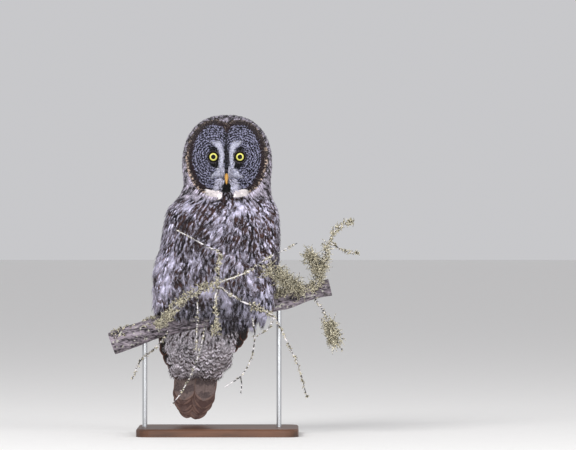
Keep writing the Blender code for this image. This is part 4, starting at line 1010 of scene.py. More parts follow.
def rim_places(out, count, seed):
    """Places on the disc's rim moved outward: x = 27 mm + (46 mm + out) cos a, z = (67 mm + 0.6 out) sin a."""
    half_width, half_height = 46 * MM + out, 67 * MM + 0.6 * out
    notch = math.acos(max(-27 * MM / half_width, -1))
    angle = np.linspace(-notch, notch, 900)
    x, z = 27 * MM + half_width * np.cos(angle), half_height * np.sin(angle)
    run = np.concatenate([[0], np.cumsum(np.hypot(np.diff(x), np.diff(z)))])
    at = (np.arange(count) + 0.5 + 0.3 * np.sin(np.arange(count) * seed)) / count * run[-1]
    x, z = np.interp(at, run, x), np.interp(at, run, z)
    sides = np.array([1, -1])[:, None]
    x, z = (sides * x).ravel(), np.tile(z, 2)
    points, normals = seen_from_front(x, z)
    outward = np.stack([x - np.sign(x) * 24 * MM, np.zeros_like(x), z], axis=-1)
    return points, normals, unit(outward)


ruff_sets = []
# Outward in mm, how many on each side, length, height of the tips, tone, how much is speckled
RUFF_ROWS = ((-7, 150, 8, 1.0, 0.1, 0), (-5, 150, 8, 1.6, 0.12, 0), (-3, 150, 8, 2.2, 0.15, 0), (-0.5, 160, 8, 2.6, 0.2, 0.3), (2, 170, 9, 3.0, 0.26, 0.7), (4.5, 170, 9, 3.2, 0.3, 0.95))
for row, (out, count, long, high, tone, speckled) in enumerate(RUFF_ROWS):
    roots, normals, outward = rim_places(out * MM, count, 1.3 + row)
    x, z = face_place(roots)
    keep = (z > -84 * MM) & ((np.abs(x) > 30 * MM) | (z > 0))
    roots, normals, outward, z = roots[keep], normals[keep], outward[keep], z[keep]
    low = ramp(30 * MM, -10 * MM, z)
    speck = rng.random(len(roots)) < 0.17 + 0.09 * low
    tones = tone + speckled * speck * (0.35 + 0.65 * low) + 0.05 * rng.normal(0, 1, len(roots))
    marks = np.stack([np.full(len(roots), 0.25), np.full(len(roots), 0.1), tones], axis=-1)
    lie = outward + np.array([0, 0.5, 0])
    ruff_sets.append(lay(roots, normals, lie, long * MM, 5.5 * MM, (-3 * MM, high * MM), 5, marks, thick=0.4))
coat_piece("ruff_feathers", ruff_sets, ruff_finish, "face")

# %% Bristles, beard and bib
sets, beard = [], []
for side in (1, -1):
    count = 150
    u, v = rng.random(count), rng.random(count)
    x, z = side * (4 + 9 * u) * MM, (-43 - 17 * v) * MM
    points, normals = on_disc(x, z)
    lie = np.stack([side * (0.5 + 0.6 * u), np.zeros(count), -0.85 + 0.2 * u], axis=-1)
    tone = 0.92 - 0.45 * (rng.random(count) < 0.3) + 0.08 * rng.normal(0, 1, count)
    marks = np.stack([np.full(count, 0.3), np.zeros(count), tone], axis=-1)
    sets.append(lay(points, normals, lie, (13 + 8 * v) * MM, 2.8 * MM, (-1 * MM, 2.6 * MM), 3, marks, loose=0.15, thick=0.35))
    count = 60
    u, v = rng.random(count), rng.random(count)
    x, z = side * (1 + 5 * u) * MM, (-19 - 14 * v) * MM
    points, normals = on_disc(x, z)
    lie = np.stack([side * (0.1 + 0.5 * u), np.zeros(count), -np.ones(count)], axis=-1)
    marks = np.stack([np.full(count, 0.3), np.zeros(count), 0.35 + 0.6 * rng.random(count)], axis=-1)
    sets.append(lay(points, normals, lie, 12 * MM, 2.8 * MM, (0.5 * MM, (9 - 4 * u) * MM), 3, marks, loose=0.1, thick=0.35))
    count = 150
    u, v = rng.random(count), rng.random(count)
    x, z = side * (7 + 23 * u) * MM, (-70.5 - 8.5 * v * (1 - 0.4 * u)) * MM
    points, normals = on_disc(x, z)
    lie = np.stack([side * np.ones(count), np.zeros(count), -0.12 + 0.15 * u + 0.25 * (0.5 - v)], axis=-1)
    marks = np.tile([0.05, 0.0, 1.05], (count, 1))
    beard.append(lay(points, normals, lie, 16 * MM, 4.5 * MM, (-1 * MM, 3.4 * MM), 5, marks, loose=0.14))
coat_piece("bill_bristles", sets, bristle_finish, "face")
coat_piece("beard_feathers", beard, beard_finish, "face")

count = 200
x, z = rng.uniform(-9, 5, count) * MM, rng.uniform(-64, -48, count) * MM
points, normals = on_disc(x, z)
lie = np.stack([x / (9 * MM), np.zeros(count), -np.ones(count)], axis=-1)
bib = lay(points, normals, lie, 11 * MM, 4 * MM, (-2 * MM, 2.2 * MM), 5, np.tile([0.6, 0, 0.35], (count, 1)))
coat_piece("bib_feathers", [bib], bib_finish, "face")

# %% [markdown]
# ## Eyes and bill
# A great grey owl's eyes are small for its face: a lemon-yellow iris round a black pupil, sunk in
# black bare lids. Each is one ball with a slightly bulged cornea. Its colours follow the
# distance from its axis. The bill is a hooked cone, carried along a curve that bends over and down.


# %% Eyes and lids
def eye_middle(side):
    """The eye's middle, 0.62 of its radius behind the coat."""
    x = HEAD_X + side * EYE_SPREAD
    surface, _ = onto_coat(np.array([[x, -90 * MM, EYE_Z]]), 10)
    return np.array([x, surface[0, 1] + EYE_RADIUS * 0.62, EYE_Z])


def eye_finish(name, middle):
    """Iris, pupil and sclera by the distance from the axis; fine radial streaks in the iris."""
    material, tree, shader = finish(name, 0.12, Coat_Weight=0.12, Coat_Roughness=0.03)
    shader.inputs["Specular IOR Level"].default_value = 0.12
    here = node(tree, "ShaderNodeTexCoord").node.outputs["Object"]
    spot = node(tree, "ShaderNodeMapping", {"Vector": here, "Location": (-middle[0], 0, -middle[2])})
    parts = node(tree, "ShaderNodeSeparateXYZ", {0: spot}).node
    flat = node(tree, "ShaderNodeCombineXYZ", {"X": parts.outputs[0], "Y": parts.outputs[2]})
    away = node(tree, "ShaderNodeVectorMath", {0: flat}, operation="LENGTH").node.outputs["Value"]
    angle = node(tree, MATH, {0: parts.outputs[2], 1: parts.outputs[0]}, operation="ARCTAN2")
    rays = node(tree, NOISE, {"Vector": node(tree, "ShaderNodeCombineXYZ", {"X": angle, "Y": away}), "Scale": 9.0, "Detail": 3.0})
    iris = node(tree, MIX, {0: rays, 1: linear("#d9d455"), 2: linear("#f4f09c")})
    outer = node(tree, MAP, {0: away, 1: 6.4 * MM, 2: 7.9 * MM})
    iris = node(tree, MIX, {0: outer, 1: iris, 2: linear("#c2b83c")})
    pupil = node(tree, MAP, {0: away, 1: 5.0 * MM, 2: 4.7 * MM})
    colour = node(tree, MIX, {0: pupil, 1: iris, 2: linear("#020202")})
    white = node(tree, MAP, {0: away, 1: 7.8 * MM, 2: 8.1 * MM})
    colour = node(tree, MIX, {0: white, 1: colour, 2: linear("#0a0808")})
    tree.links.new(colour, shader.inputs["Base Color"])
    return material


def ball(middle, radius, rings, sides, bulge=0.0):
    """A ball with its poles to the front and back: r = radius + bulge times a bell round the front pole."""
    polar = np.linspace(0.02, math.pi - 0.02, rings)[:, None]
    turn = np.arange(sides)[None, :] * 2 * math.pi / sides
    r = radius + bulge * np.exp(-((polar / 0.55) ** 2))
    x, z, y = np.cos(turn) * np.sin(polar), np.sin(turn) * np.sin(polar), -np.cos(polar) + 0 * turn
    return lathe(middle + (r * np.stack([x, y, z])).transpose(1, 2, 0)[::-1])


lid_material, lid_tree, lid_shader = finish("eyelid_bare_black", 0.8)
lid_shader.inputs["Specular IOR Level"].default_value = 0.15
wrinkle = place_noise(lid_tree, 0.8, 2.0)
lid_tree.links.new(node(lid_tree, MIX, {0: wrinkle, 1: linear("#050405"), 2: linear("#0f0c0e")}), lid_shader.inputs["Base Color"])

for name, side in (("left", 1), ("right", -1)):
    middle = eye_middle(side)
    points, faces = ball(middle, EYE_RADIUS - 0.4 * MM, 40, 48, 0.5 * MM)
    mesh_piece(f"eyeball_{name}", points, faces, eye_finish(f"eye_yellow_{name}", middle), "eye", [f"eye_{name}"])
    turn = np.arange(64)[:, None] * 2 * math.pi / 64
    roll = np.arange(12)[None, :] * 2 * math.pi / 12
    corner = 1.3 * MM * np.exp(-((np.angle(np.exp(1j * (turn - (math.pi if side > 0 else 0) - side * 0.5))) / 0.35) ** 2))
    radius = 8.0 * MM + 1.5 * MM + corner + 1.7 * MM * np.cos(roll)
    depth = -math.sqrt(10.5**2 - 8.4**2) * MM + 0.6 * MM - 2.0 * MM * np.sin(roll)
    ring = np.stack([radius * np.cos(turn), depth + 0 * turn, radius * np.sin(turn)], axis=-1)
    ring = middle + np.concatenate([ring, ring[:1]])
    closed = grid_faces(65, 12, True) % (64 * 12)
    mesh_piece(f"eyelids_{name}", ring[:64].reshape(-1, 3), [closed], lid_material, "face")

# %% Bill
BILL_TOP = -35 * MM
BILL_TIP = -53 * MM
BILL_REACH = 9 * MM
BILL_HALF_WIDTH = 4.2 * MM
BILL_BEND = math.radians(104)


def face_depth(z):
    """The face's own y on the bill's line, z from the eyes' level."""
    return onto_coat(np.array([[HEAD_X, -90 * MM, EYE_Z + z]]), 10)[0][0, 1]


def upper_bill():
    """A cone along an arc: the middle line bends by 104 degrees, and its rings shrink as (1 - s^1.7)."""
    s = np.linspace(0, 1, 40)[:, None]
    turn = np.arange(40)[None, :] * math.pi / 20
    bend = s * BILL_BEND
    y = face_depth(BILL_TOP) + 7 * MM - (BILL_REACH + 7 * MM) * np.sin(bend) ** 0.8
    drop = (BILL_TOP - BILL_TIP) * (1 - np.cos(bend)) / (1 - math.cos(BILL_BEND))
    base = 0.5 + 0.5 * ramp(0, 0.3, s)
    half = base * (BILL_HALF_WIDTH * (1 - s**1.7) ** 0.75 + 0.4 * MM) * (1 - 0.12 * np.cos(turn))
    tall = base * (BILL_HALF_WIDTH + 2.6 * MM) * (1 - s**1.5) ** 0.8 + 0.5 * MM
    x = HEAD_X + half * np.sin(turn)
    y = y - tall * np.cos(turn) * np.sin(bend)
    z = EYE_Z + BILL_TOP - 3 * MM - drop + tall * np.cos(turn) * np.cos(bend)
    return lathe(np.stack([x, y, z], axis=-1)), s


def lower_bill():
    """A short flattened cone that closes up under the upper bill."""
    s = np.linspace(0, 1, 20)[:, None]
    turn = np.arange(24)[None, :] * math.pi / 12
    half = 3.2 * MM * (1 - s**1.6) + 0.5 * MM
    tall = 2.4 * MM * (1 - 0.6 * s) + 0 * turn
    x = HEAD_X + half * np.sin(turn)
    y = face_depth(BILL_TIP) + 8 * MM - 12.5 * MM * s + 0 * turn
    z = EYE_Z + BILL_TIP - (1.2 - 2.4 * s) * MM + tall * np.cos(turn)
    return lathe(np.stack([x, y, z], axis=-1))


bill_material, bill_tree, bill_shader = finish("bill_horn_yellow", 0.38)
grain = place_noise(bill_tree, 3.0, 3.0, (2.0, 2.0, 0.5))
bill_tree.links.new(
    node(bill_tree, MIX, {0: grain, 1: linear("#94692a"), 2: linear("#dba651")}), bill_shader.inputs["Base Color"]
)
(bill_points, bill_faces), _ = upper_bill()
mesh_piece("upper_bill_horn", bill_points, bill_faces, bill_material, "bill", ["bill_upper"])
mesh_piece("lower_bill_horn", *lower_bill(), bill_material, "bill", ["bill_lower"])

# %% [markdown]
# ## Wings
# A folded wing is a stack of stiff feathers, the longest at the bottom of the stack. Each is a thin
# curved plate with a raised shaft. It lies on the coat's own surface at a height that grows
# from root to tip, which is how real feathers overlap like roof tiles.

# %% Wing feathers
WING_TOP_Z = 466 * MM
WING_FOOT_Z = 258 * MM


def wing_front_angle(z, side):
    """The coat angle of the folded wing's front edge. It sweeps back over the perch's top."""
    flank = coat_section(z)[0] + side * 112 * MM
    over = z - perch_middle(flank) - perch_radius(flank)
    return 60 + 56 * (1 - ramp(-4 * MM, 62 * MM, over)) + 34 * ramp(WING_TOP_Z - 38 * MM, WING_TOP_Z, z)


def wing_shell(side):
    """The folded arm and hand: a closed shell on the coat, 3 mm under it and 4 mm over it."""
    foot = WING_FOOT_Z + 0.5 * (perch_middle(side * 110 * MM) - perch_middle(-110 * MM))
    z = np.linspace(foot, WING_TOP_Z, 60)[:, None]
    share = np.linspace(0, 1, 60)[None, :]
    first = wing_front_angle(z, side)
    last = 167 - 52 * ramp(WING_TOP_Z - 45 * MM, WING_TOP_Z, z)
    phi = side * (first + (last - first) * share)
    z = np.broadcast_to(z, phi.shape)
    rounding = np.sin(math.pi * np.clip(share, 0.08, 0.92)) ** 0.5
    outer = coat_point(z, phi, 3.5 * MM * rounding + 0 * z)
    inner = coat_point(z, phi, np.full(phi.shape, -3 * MM))
    return slab(outer, inner) if side > 0 else slab(outer[:, ::-1], inner[:, ::-1])


def quill(root, tip, width, rise, slope=0.0, chance=0.5, marks=(0, 1, 0.5), side=1, end=0.8, rows=26, columns=9):
    """A stiff feather on the coat: a plate from root to tip (height, angle), rise at root, fifth and tip.

    Its half width is width / 2 times (s / 0.12)^0.4 up to 0.12 and (1 - s^p)^0.5 towards the tip.
    """
    s = np.linspace(0, 1, rows)[:, None]
    t = np.linspace(-1, 1, columns)[None, :]
    s = 1 - (1 - s) ** 1.25
    shape = np.clip(s / 0.15, 0.3, 1) ** 0.5 * np.clip(1 - s**7, 0.0, 1) ** end
    z = root[0] + (tip[0] - root[0]) * s + 0 * t
    across = t * width / 2 * shape
    phi = root[1] + (tip[1] - root[1]) * s + np.degrees(across / (105 * MM))
    height = np.interp(s, [0, 0.2, 1], rise) - slope * across * ramp(0, 0.25, s) * side
    height = height + 0.5 * MM * np.exp(-((t / 0.12) ** 2)) * (1 - s) - 0.8 * MM * t**2 * side * 0
    half = 0.25 * MM * (1 - 0.5 * s)
    phi = side * phi
    upper, lower = coat_point(z, phi, height + half), coat_point(z, phi, height - half)
    if side < 0:
        upper, lower = upper[:, ::-1], lower[:, ::-1]
    points, faces = slab(upper, lower)
    vane = np.stack([np.broadcast_to(t, z.shape), np.broadcast_to(s, z.shape), np.full(z.shape, chance)], axis=-1)
    if side < 0:
        vane = vane[:, ::-1]
    vane = np.tile(vane.reshape(-1, 3), (2, 1))
    spot = np.array([side * (root[1] + tip[1]) / 720 + 0.5, (root[0] + tip[0]) / 2 / CROWN_Z]) * 0.98 + 0.01
    uv = spot + 0.003 * (vane[:, :2] / 2 + np.array([0, -0.25]))
    return {"points": points, "faces": faces, "vane": vane, "mark": np.tile(marks, (len(points), 1)), "uv": uv}


# Heights of the first and last tip, the tips' lean, and the angles of the first and last feather
WING_TIPS = {"left": ((214, 168), 0, 9, 139, 152, (262, 188)), "right": ((186, 122), -24, 1, 121, 141, (240, 194))}


def feather_row(side, count, roots, tips, first, last, width, rise, lean, marks, end=0.5):
    """One row of quills from the wing's front edge to its back. Those nearer the back lie on top."""
    share = np.linspace(0, 1, count)
    pitch = math.radians((last - first) / (count - 1)) * 110 * MM
    made = []
    for i, u in enumerate(share):
        phi = first + (last - first) * u
        root = (roots[0] + (roots[1] - roots[0]) * u) * MM
        tip = (tips[0] + (tips[1] - tips[0]) * u + 2 * math.sin(2.4 * i + side)) * MM
        high = [r * MM for r in rise]
        tone = (marks[0], marks[1], marks[2] + rng.normal(0, 0.05))
        made.append(quill((root, phi), (tip, phi + lean), width * MM, high, 0.75 * MM / pitch, rng.random(), tone, side, end))
    return made


for name, side in (("left", 1), ("right", -1)):
    shell_points, shell_faces = wing_shell(side)
    foot = (WING_FOOT_Z + 0.5 * (perch_middle(side * 110 * MM) - perch_middle(-110 * MM))) / MM
    tips, primary_lean, secondary_lean, first, last, inner_tips = WING_TIPS[name]
    tip_quills = feather_row(side, 7, (foot + 22, foot + 18), tips, first, last, 20, (-0.6, 0.4, 0.8), primary_lean, (0.0, 0.6, 0.3), 0.8)
    coat_piece(f"wing_tip_quills_{name}", tip_quills, primary_finish, "plumage", [f"wing_{name}"])
    flight = feather_row(side, 9, (352, 352), inner_tips, 102, 163, 30, (1, 5, 6.5), secondary_lean, (0.0, 1, 0.6))
    flight += feather_row(side, 11, (400, 406), (312, 290), 88, 163, 24, (1, 5.5, 8.5), 2, (0.0, 0.9, 0.72))
    shell = {
        "points": shell_points,
        "faces": shell_faces,
        "vane": np.tile([0.5, 0.5, 0.5], (len(shell_points), 1)),
        "mark": np.tile([0.0, 0.5, 0.05], (len(shell_points), 1)),
        "uv": np.stack([angle_round(shell_points) / 360 + 0.5, shell_points[:, 2] / CROWN_Z], axis=-1) * 0.98 + 0.01,
    }
    coat_piece(f"wing_quills_{name}", [shell, *flight], wing_finish, "plumage", [f"wing_{name}"])

# %% [markdown]
# ## Under-tail coverts and tail
# Below the perch the long, soft under-tail coverts hang in front of the tail. They are fans again,
# laid on a flattened, rounded box. The twelve tail feathers are stiff plates, the middle pair behind
# the rest, each with a rounded end.


# %% Under-tail coverts
def onto_vent(points, rounds=1, face=1):
    """Moves points along y onto the front of the vent (face 1) or its back (-1), and gives the normals there."""

    def front(x, z):
        level = np.clip(z, VENT_LEVELS[0, 0], VENT_LEVELS[-1, 0])
        middle, half, y, back = (smooth(VENT_LEVELS[:, 0], VENT_LEVELS[:, k], level) for k in (1, 2, 3, 4))
        lane = np.clip(np.abs(x - middle) / half, 0, 0.995)
        return (y + back) / 2 - face * (back - y) / 2 * (1 - lane**2.5) ** 0.4

    x, z = points[..., 0], points[..., 2]
    y = front(x, z)
    step = 0.5 * MM
    slope_x, slope_z = (front(x + step, z) - y) / step, (front(x, z + step) - y) / step
    slope_x = np.clip(slope_x, -3, 3)
    normal = face * np.stack([slope_x, -np.ones_like(x), slope_z], axis=-1)
    return np.stack([x, y, z], axis=-1), unit(normal)


count = 300
k = np.arange(count)
lane = ((0.5 + k * 0.5698402910) % 1) * 1.9 - 0.95
z = (130 + 132 * ((0.5 + k * 0.7548776662) % 1)) * MM
middle, half = (smooth(VENT_LEVELS[:, 0], VENT_LEVELS[:, c], z) for c in (1, 2))
roots, normals = onto_vent(np.stack([middle + lane * half, np.zeros(count), z], axis=-1))
lie = np.stack([-0.15 + 0.3 * lane, np.zeros(count), -np.ones(count)], axis=-1)
blotch = spots(roots, np.array([14, 30, 12]) * MM, 2.0) - 0.5
upper = ramp(165 * MM, 215 * MM, z)
marks = np.stack(
    [0.2 + 0.6 * upper, (0.9 - 0.45 * upper) * rng.uniform(0.85, 1, count), 1.06 - 0.14 * upper - 0.7 * blotch], axis=-1
)
vent = lay(roots, normals, lie, 27 * MM, 17 * MM, (-4 * MM, 3.5 * MM), 9, marks, loose=0.22, surface=onto_vent)
behind = lambda points, rounds: onto_vent(points, rounds, -1)
roots, normals = behind(np.stack([middle + lane * half, np.zeros(count), z], axis=-1)[::2], 1)
vent_back = lay(roots, normals, lie[::2], 27 * MM, 20 * MM, (-3 * MM, 1.5 * MM), 7, marks[::2], surface=behind)
coat_piece("under_tail_feathers", [vent, vent_back], vent_finish, "plumage")

# %% Tail feathers
TAIL_ROOT = np.array([-27, 75, 262]) * MM
TAIL_TIP = np.array([-58, 88, 28]) * MM


# From the middle pair, which lies at the back, to the outermost, in front: offset, tip's share, tone
# The fifth feather's tone, 0.25, is painted shade: the strip of it seen below the outermost feathers' tips is darkened
# as if in their shadow.
TAIL_FEATHERS = ((9, 1.0, 0.55), (12, 0.985, 0.5), (15, 0.965, 0.4), (19, 0.94, 0.4), (22, 0.895, 0.25), (21, 0.835, 0.8))


def stiff_feather(root, tip, place, half_width, marks, chance, lift, side=1, spot=0.0):
    """A flat stiff feather: a plate along a slanted axis, its middle moved sideways by place, with a rounded tip.

    The half width is 1 - ((s - 0.84) / 0.16)^2.4 to the power 0.6 near the tip, and the plate sags
    by 4 mm times (sideways place / 50 mm)^2. lift moves it to the front, over the feathers behind.
    """
    down = tip - root
    length = np.linalg.norm(down)
    down = down / length
    across = unit(np.array([1.0, 0, 0]) - down[0] * down)
    out = np.cross(down, across)
    s, t = np.linspace(0, 1, 48)[:, None], np.linspace(-1, 1, 13)[None, :]
    s = 1 - (1 - s) ** 1.3
    near_tip = np.clip((s - 0.84) / 0.16, 0, 1)
    half = t * half_width * np.clip(1 - near_tip**2.4, 0, 1) ** 0.6 * (0.8 + 0.2 * ramp(0, 0.4, s))
    along = length * s + 0 * t
    place = place * (0.7 + 0.3 * ramp(0, 0.6, s)) + half
    step = lift - 0.03 * side * half * ramp(0, 0.25, s) - 4 * MM * (place / (50 * MM)) ** 2
    step = step + 0.35 * MM * np.exp(-((t / 0.1) ** 2)) * (1 - 0.8 * s) - 0.6 * MM * t**2
    wobble = 0.5 * MM * np.sin(40 * s + 20 * chance + 3 * t) * np.abs(t) ** 4
    front = root + down * along[..., None] + across * (place + wobble)[..., None] + out * step[..., None]
    points, faces = slab(front, front - out * 0.5 * MM)
    vane = np.stack([np.broadcast_to(t, along.shape), np.broadcast_to(s, along.shape), np.full(along.shape, chance)], axis=-1)
    vane = np.tile(vane.reshape(-1, 3), (2, 1))
    uv = np.array([0.5 + spot, 0.02]) + 0.003 * vane[:, :2]
    return {"points": points, "faces": faces, "vane": vane, "mark": np.tile(marks, (len(points), 1)), "uv": uv}


def tail_feather(side, k):
    """The k-th tail feather from the middle on one side."""
    offset, share, tone = TAIL_FEATHERS[k]
    share = share - 0.012 * math.sin(2.6 * k + 1.9 * side) * (k > 0)
    down = TAIL_TIP - TAIL_ROOT
    marks, chance = (0.45 if k < 5 else 0.0, 1.0, tone), (0.37 * k + 0.5 * (side > 0)) % 1
    return stiff_feather(
        TAIL_ROOT + 0.12 * down, TAIL_ROOT + share * down, side * offset * MM, 22 * MM, marks, chance,
        1.25 * MM * (k + 0.5 * (side > 0)), side, side * (0.02 + 0.01 * k),
    )


tail = [tail_feather(side, k) for k in range(len(TAIL_FEATHERS)) for side in (1, -1)]
coat_piece("tail_quills", tail, tail_finish, "flight_feathers", ["tail"])

# The folded hand's longest feathers, beside the vent: x and height of root and tip, y of root and tip, half width
HAND_ENDS = (
    (-106, 250, -88, 112, 56, 66, 9), (-110, 250, -95, 124, 54, 64, 9), (-114, 250, -104, 140, 52, 61, 9), (-117, 250, -112, 160, 50, 57, 9),
    (50, 255, 30, 166, 58, 66, 9), (56, 258, 40, 176, 56, 63, 9), (62, 260, 50, 190, 54, 60, 8),
)
# These hand quills share the wing-tip finish, whose near-black is partly painted shade of the gap beside the tail.
ends = [
    stiff_feather(np.array([x, y, z]) * MM, np.array([u, v, w]) * MM, 0, half * MM, (0, 0.6, 0.3), (0.29 * i) % 1, 0, np.sign(x), 0.1 + 0.01 * i)
    for i, (x, z, u, w, y, v, half) in enumerate(HAND_ENDS)
]
coat_piece("wing_end_quills", ends, primary_finish, "plumage")

# %% [markdown]
# ## Legs, toes and claws
# The owl's legs and toes are feathered down to the claws. Short fans stand on them, rooted on
# rings round each toe's middle line. The claws are curved cones of dark horn.


# %% Feet
def ring_roots(path, radii, rows, columns):
    """Roots, normals and directions of fans on a tube: rings round its path, each turned half a step."""
    side, upper = carried_frame(path)
    ahead = unit(np.gradient(path, axis=0))
    at = np.linspace(0.4, len(path) - 1.3, rows)
    share = at - np.floor(at)
    i = np.floor(at).astype(int)
    pick = lambda a: a[i] * (1 - share)[:, None] + a[i + 1] * share[:, None]
    middle, side, upper, ahead = pick(path), pick(side), pick(upper), pick(ahead)
    radius = np.interp(at, np.arange(len(path)), radii)
    turn = (np.arange(columns)[None] + 0.5 * (np.arange(rows)[:, None] % 2)) * 2 * math.pi / columns
    out = np.cos(turn)[..., None] * side[:, None] + np.sin(turn)[..., None] * upper[:, None]
    roots = middle[:, None] + radius[:, None, None] * out
    lie = np.broadcast_to(ahead[:, None], out.shape)
    return roots.reshape(-1, 3), out.reshape(-1, 3), lie.reshape(-1, 3)


def flat_net(points, rounds=1):
    """Leaves points where they are; the normals come from the caller."""
    return points, None


toe_sets = []
claw_material, claw_tree, claw_shader = finish("claw_horn_black", 0.3)
claw_tone = place_noise(claw_tree, 2.0, 2.0)
claw_tree.links.new(
    node(claw_tree, MIX, {0: claw_tone, 1: linear("#0d0b0b"), 2: linear("#332c2a")}), claw_shader.inputs["Base Color"]
)
for side, x in LEG_PLACES.items():
    reach = perch_radius(x) + 0.9 * MM
    for toe, (offset, ahead) in TOES.items():
        radius = (TOE_RADIUS - 1 * MM) * (1 - 0.22 * np.linspace(0, 1, 9))
        path = toe_path(x, offset, ahead, reach, 6, 62, radius)
        roots, normals, lie = ring_roots(path, radius, 14, 9)
        away = np.linalg.norm(roots - np.stack([roots[:, 0], 0 * roots[:, 0], perch_middle(roots[:, 0])], axis=-1), axis=-1)
        keep = away > perch_radius(roots[:, 0]) + 2.5 * MM
        roots, normals, lie = roots[keep], normals[keep], lie[keep]
        marks = np.stack([0.2 * rng.random(len(roots)), 0.5 * rng.random(len(roots)), rng.normal(0.72, 0.08, len(roots))], axis=-1)
        toe_sets.append(lay(roots, normals, lie, 8 * MM, 4.4 * MM, (-0.8 * MM, 0.9 * MM), 3, marks, surface=flat_net, thick=0.3))
        share = np.linspace(0, 1, 16)
        radii = 3.75 * MM * (1 - 0.93 * share**1.15)
        over = 5.3 * MM - 4.2 * MM * share + radii * 0.4
        along = np.full(16, x + offset * 1.2)
        claw = np.array([toe_point(p, ahead * (62 + 56 * u), perch_radius(x) + 0.9 * MM + r) for p, u, r in zip(along, share, over)])
        mesh_piece(f"claw_horn_{toe[4:]}_{side}", *tube(claw, radii, 14), claw_material, "claw", [f"claw_{toe}_{side}"])
    foot_z = toe_point(x, 0, reach)[2]
    leg = np.array([(x, 0, foot_z + up * MM) for up in (46, 34, 24, 16, 10, 5)])
    radii = np.array([25, 23, 20, 17, 14, 12]) * MM
    roots, normals, lie = ring_roots(leg, radii, 12, 22)
    marks = np.stack([0.2 * rng.random(len(roots)), 0.5 * rng.random(len(roots)), rng.normal(0.72, 0.08, len(roots))], axis=-1)
    toe_sets.append(lay(roots, normals, lie, 16 * MM, 8 * MM, (-2 * MM, 1 * MM), 5, marks, surface=flat_net))
coat_piece("leg_and_toe_feathers", toe_sets, vent_finish, "plumage")

# %% [markdown]
# ## Perch and twigs
# The perch is a dead spruce branch: flaking, grey-brown bark with long cracks. It is a tube whose
# radius is disturbed by sums of sines that are stretched along the grain, and whose ends are sawn flat.


# %% Perch
def bark_finish(name, dark, light, crack=3.0, scale=14.0, spread=0.22):
    """Bark: plates about 14 mm long between cracks, lichen-grey on the plates, with bump from both."""
    material, tree, shader = finish(name, 0.92)
    plates = place_noise(tree, scale, 6.0, (0.3, 1.2, 1.2))
    fine = place_noise(tree, crack, 4.0, (0.35, 1.3, 1.3))
    mixed = node(tree, MATH, {0: plates, 1: fine}, operation="ADD")
    value = node(tree, MAP, {0: mixed, 1: 1 - spread, 2: 1 + spread})
    colour = node(tree, MIX, {0: value, 1: linear(dark), 2: linear(light)})
    patch = place_noise(tree, 7.0, 3.0)
    patch = node(tree, MAP, {0: patch, 1: 0.6, 2: 0.68, 4: 0.8})
    colour = node(tree, MIX, {0: patch, 1: colour, 2: linear("#c4c2b6")})
    bump = node(tree, "ShaderNodeBump", {"Height": mixed, "Strength": 0.7, "Distance": 1.2 * MM})
    tree.links.new(colour, shader.inputs["Base Color"])
    tree.links.new(bump, shader.inputs["Normal"])
    return material


def perch_form():
    """The branch: rings along its line, radius plus long ridges, scales and knots; the ends close flat."""
    rows, columns = 460, 96
    x = np.linspace(PERCH_LINE[0, 0], PERCH_LINE[-1, 0], rows)
    path = np.stack([x, np.zeros(rows), perch_middle(x)], axis=-1)
    turn = np.arange(columns) * 2 * math.pi / columns
    u, v = x[:, None] / MM, turn[None, :]
    ridges = np.zeros((rows, columns))
    for k, (around, along, size) in enumerate(((3, 0.011, 0.9), (5, 0.03, 0.5), (9, 0.05, 0.45), (14, 0.11, 0.35), (23, 0.2, 0.22))):
        ridges += size * np.sin(around * v + along * 2 * math.pi * u * 0.3 + 2.2 * np.sin(0.021 * u * (k + 1) + k) + k)
    radius = perch_radius(x)[:, None] + 0.5 * MM * np.sin(x / (17 * MM))[:, None] + (ridges - 0.8) * MM * 0.55
    return tube(path, radius, columns)


perch_finish = bark_finish("spruce_bark_grey", "#1a1519", "#a0959f", spread=0.18)
perch_points, perch_faces = perch_form()
mesh_piece("perch_bark", perch_points, perch_faces, perch_finish, "bark", ["perch"])


# %% Twigs
def photo_point(across, down, ahead):
    """A place of the photo, in pixels, as a point of the model, ahead millimetres to the front."""
    return ((across - 218) * 2.05 * MM, -ahead * MM, (421 - down) * 2.05 * MM + 28 * MM)


TWIGS = {
    "twig_main": [
        (158, 326, 20), (166, 318, 60), (180, 303, 108), (198, 291, 131),
        (216, 283, 137), (246, 272, 134), (266, 259, 128), (297, 243, 118),
    ],
    "twig_upper": [
        (218, 284, 137), (219, 270, 141), (222, 255, 139), (206, 245, 137), (190, 236, 133), (178, 230, 126),
    ],
    "twig_long": [
        (219, 285, 136), (231, 293, 124), (244, 301, 108), (257, 306, 98),
        (271, 313, 92), (282, 330, 86), (290, 347, 82), (298, 364, 78), (307, 396, 74),
    ],
    "twig_bent": [
        (249, 306, 15), (252, 316, 44), (255, 334, 56), (253, 352, 60), (243, 373, 60), (225, 386, 60),
    ],
    "twig_left": [(168, 330, 14), (165, 337, 36), (154, 349, 44), (142, 359, 46), (133, 378, 46)],
    "twig_tail": [
        (206, 322, 14), (204, 334, 34), (199, 354, 40), (191, 375, 42), (178, 397, 42), (171, 405, 42),
    ],
    "twig_right": [
        (309, 292, 8), (316, 284, 22), (322, 266, 34), (326, 250, 38), (336, 229, 40), (352, 221, 42),
    ],
    "twig_hanging": [
        (313, 294, 8), (317, 301, 26), (324, 312, 34), (328, 324, 37), (334, 338, 38), (343, 351, 38),
    ],
}


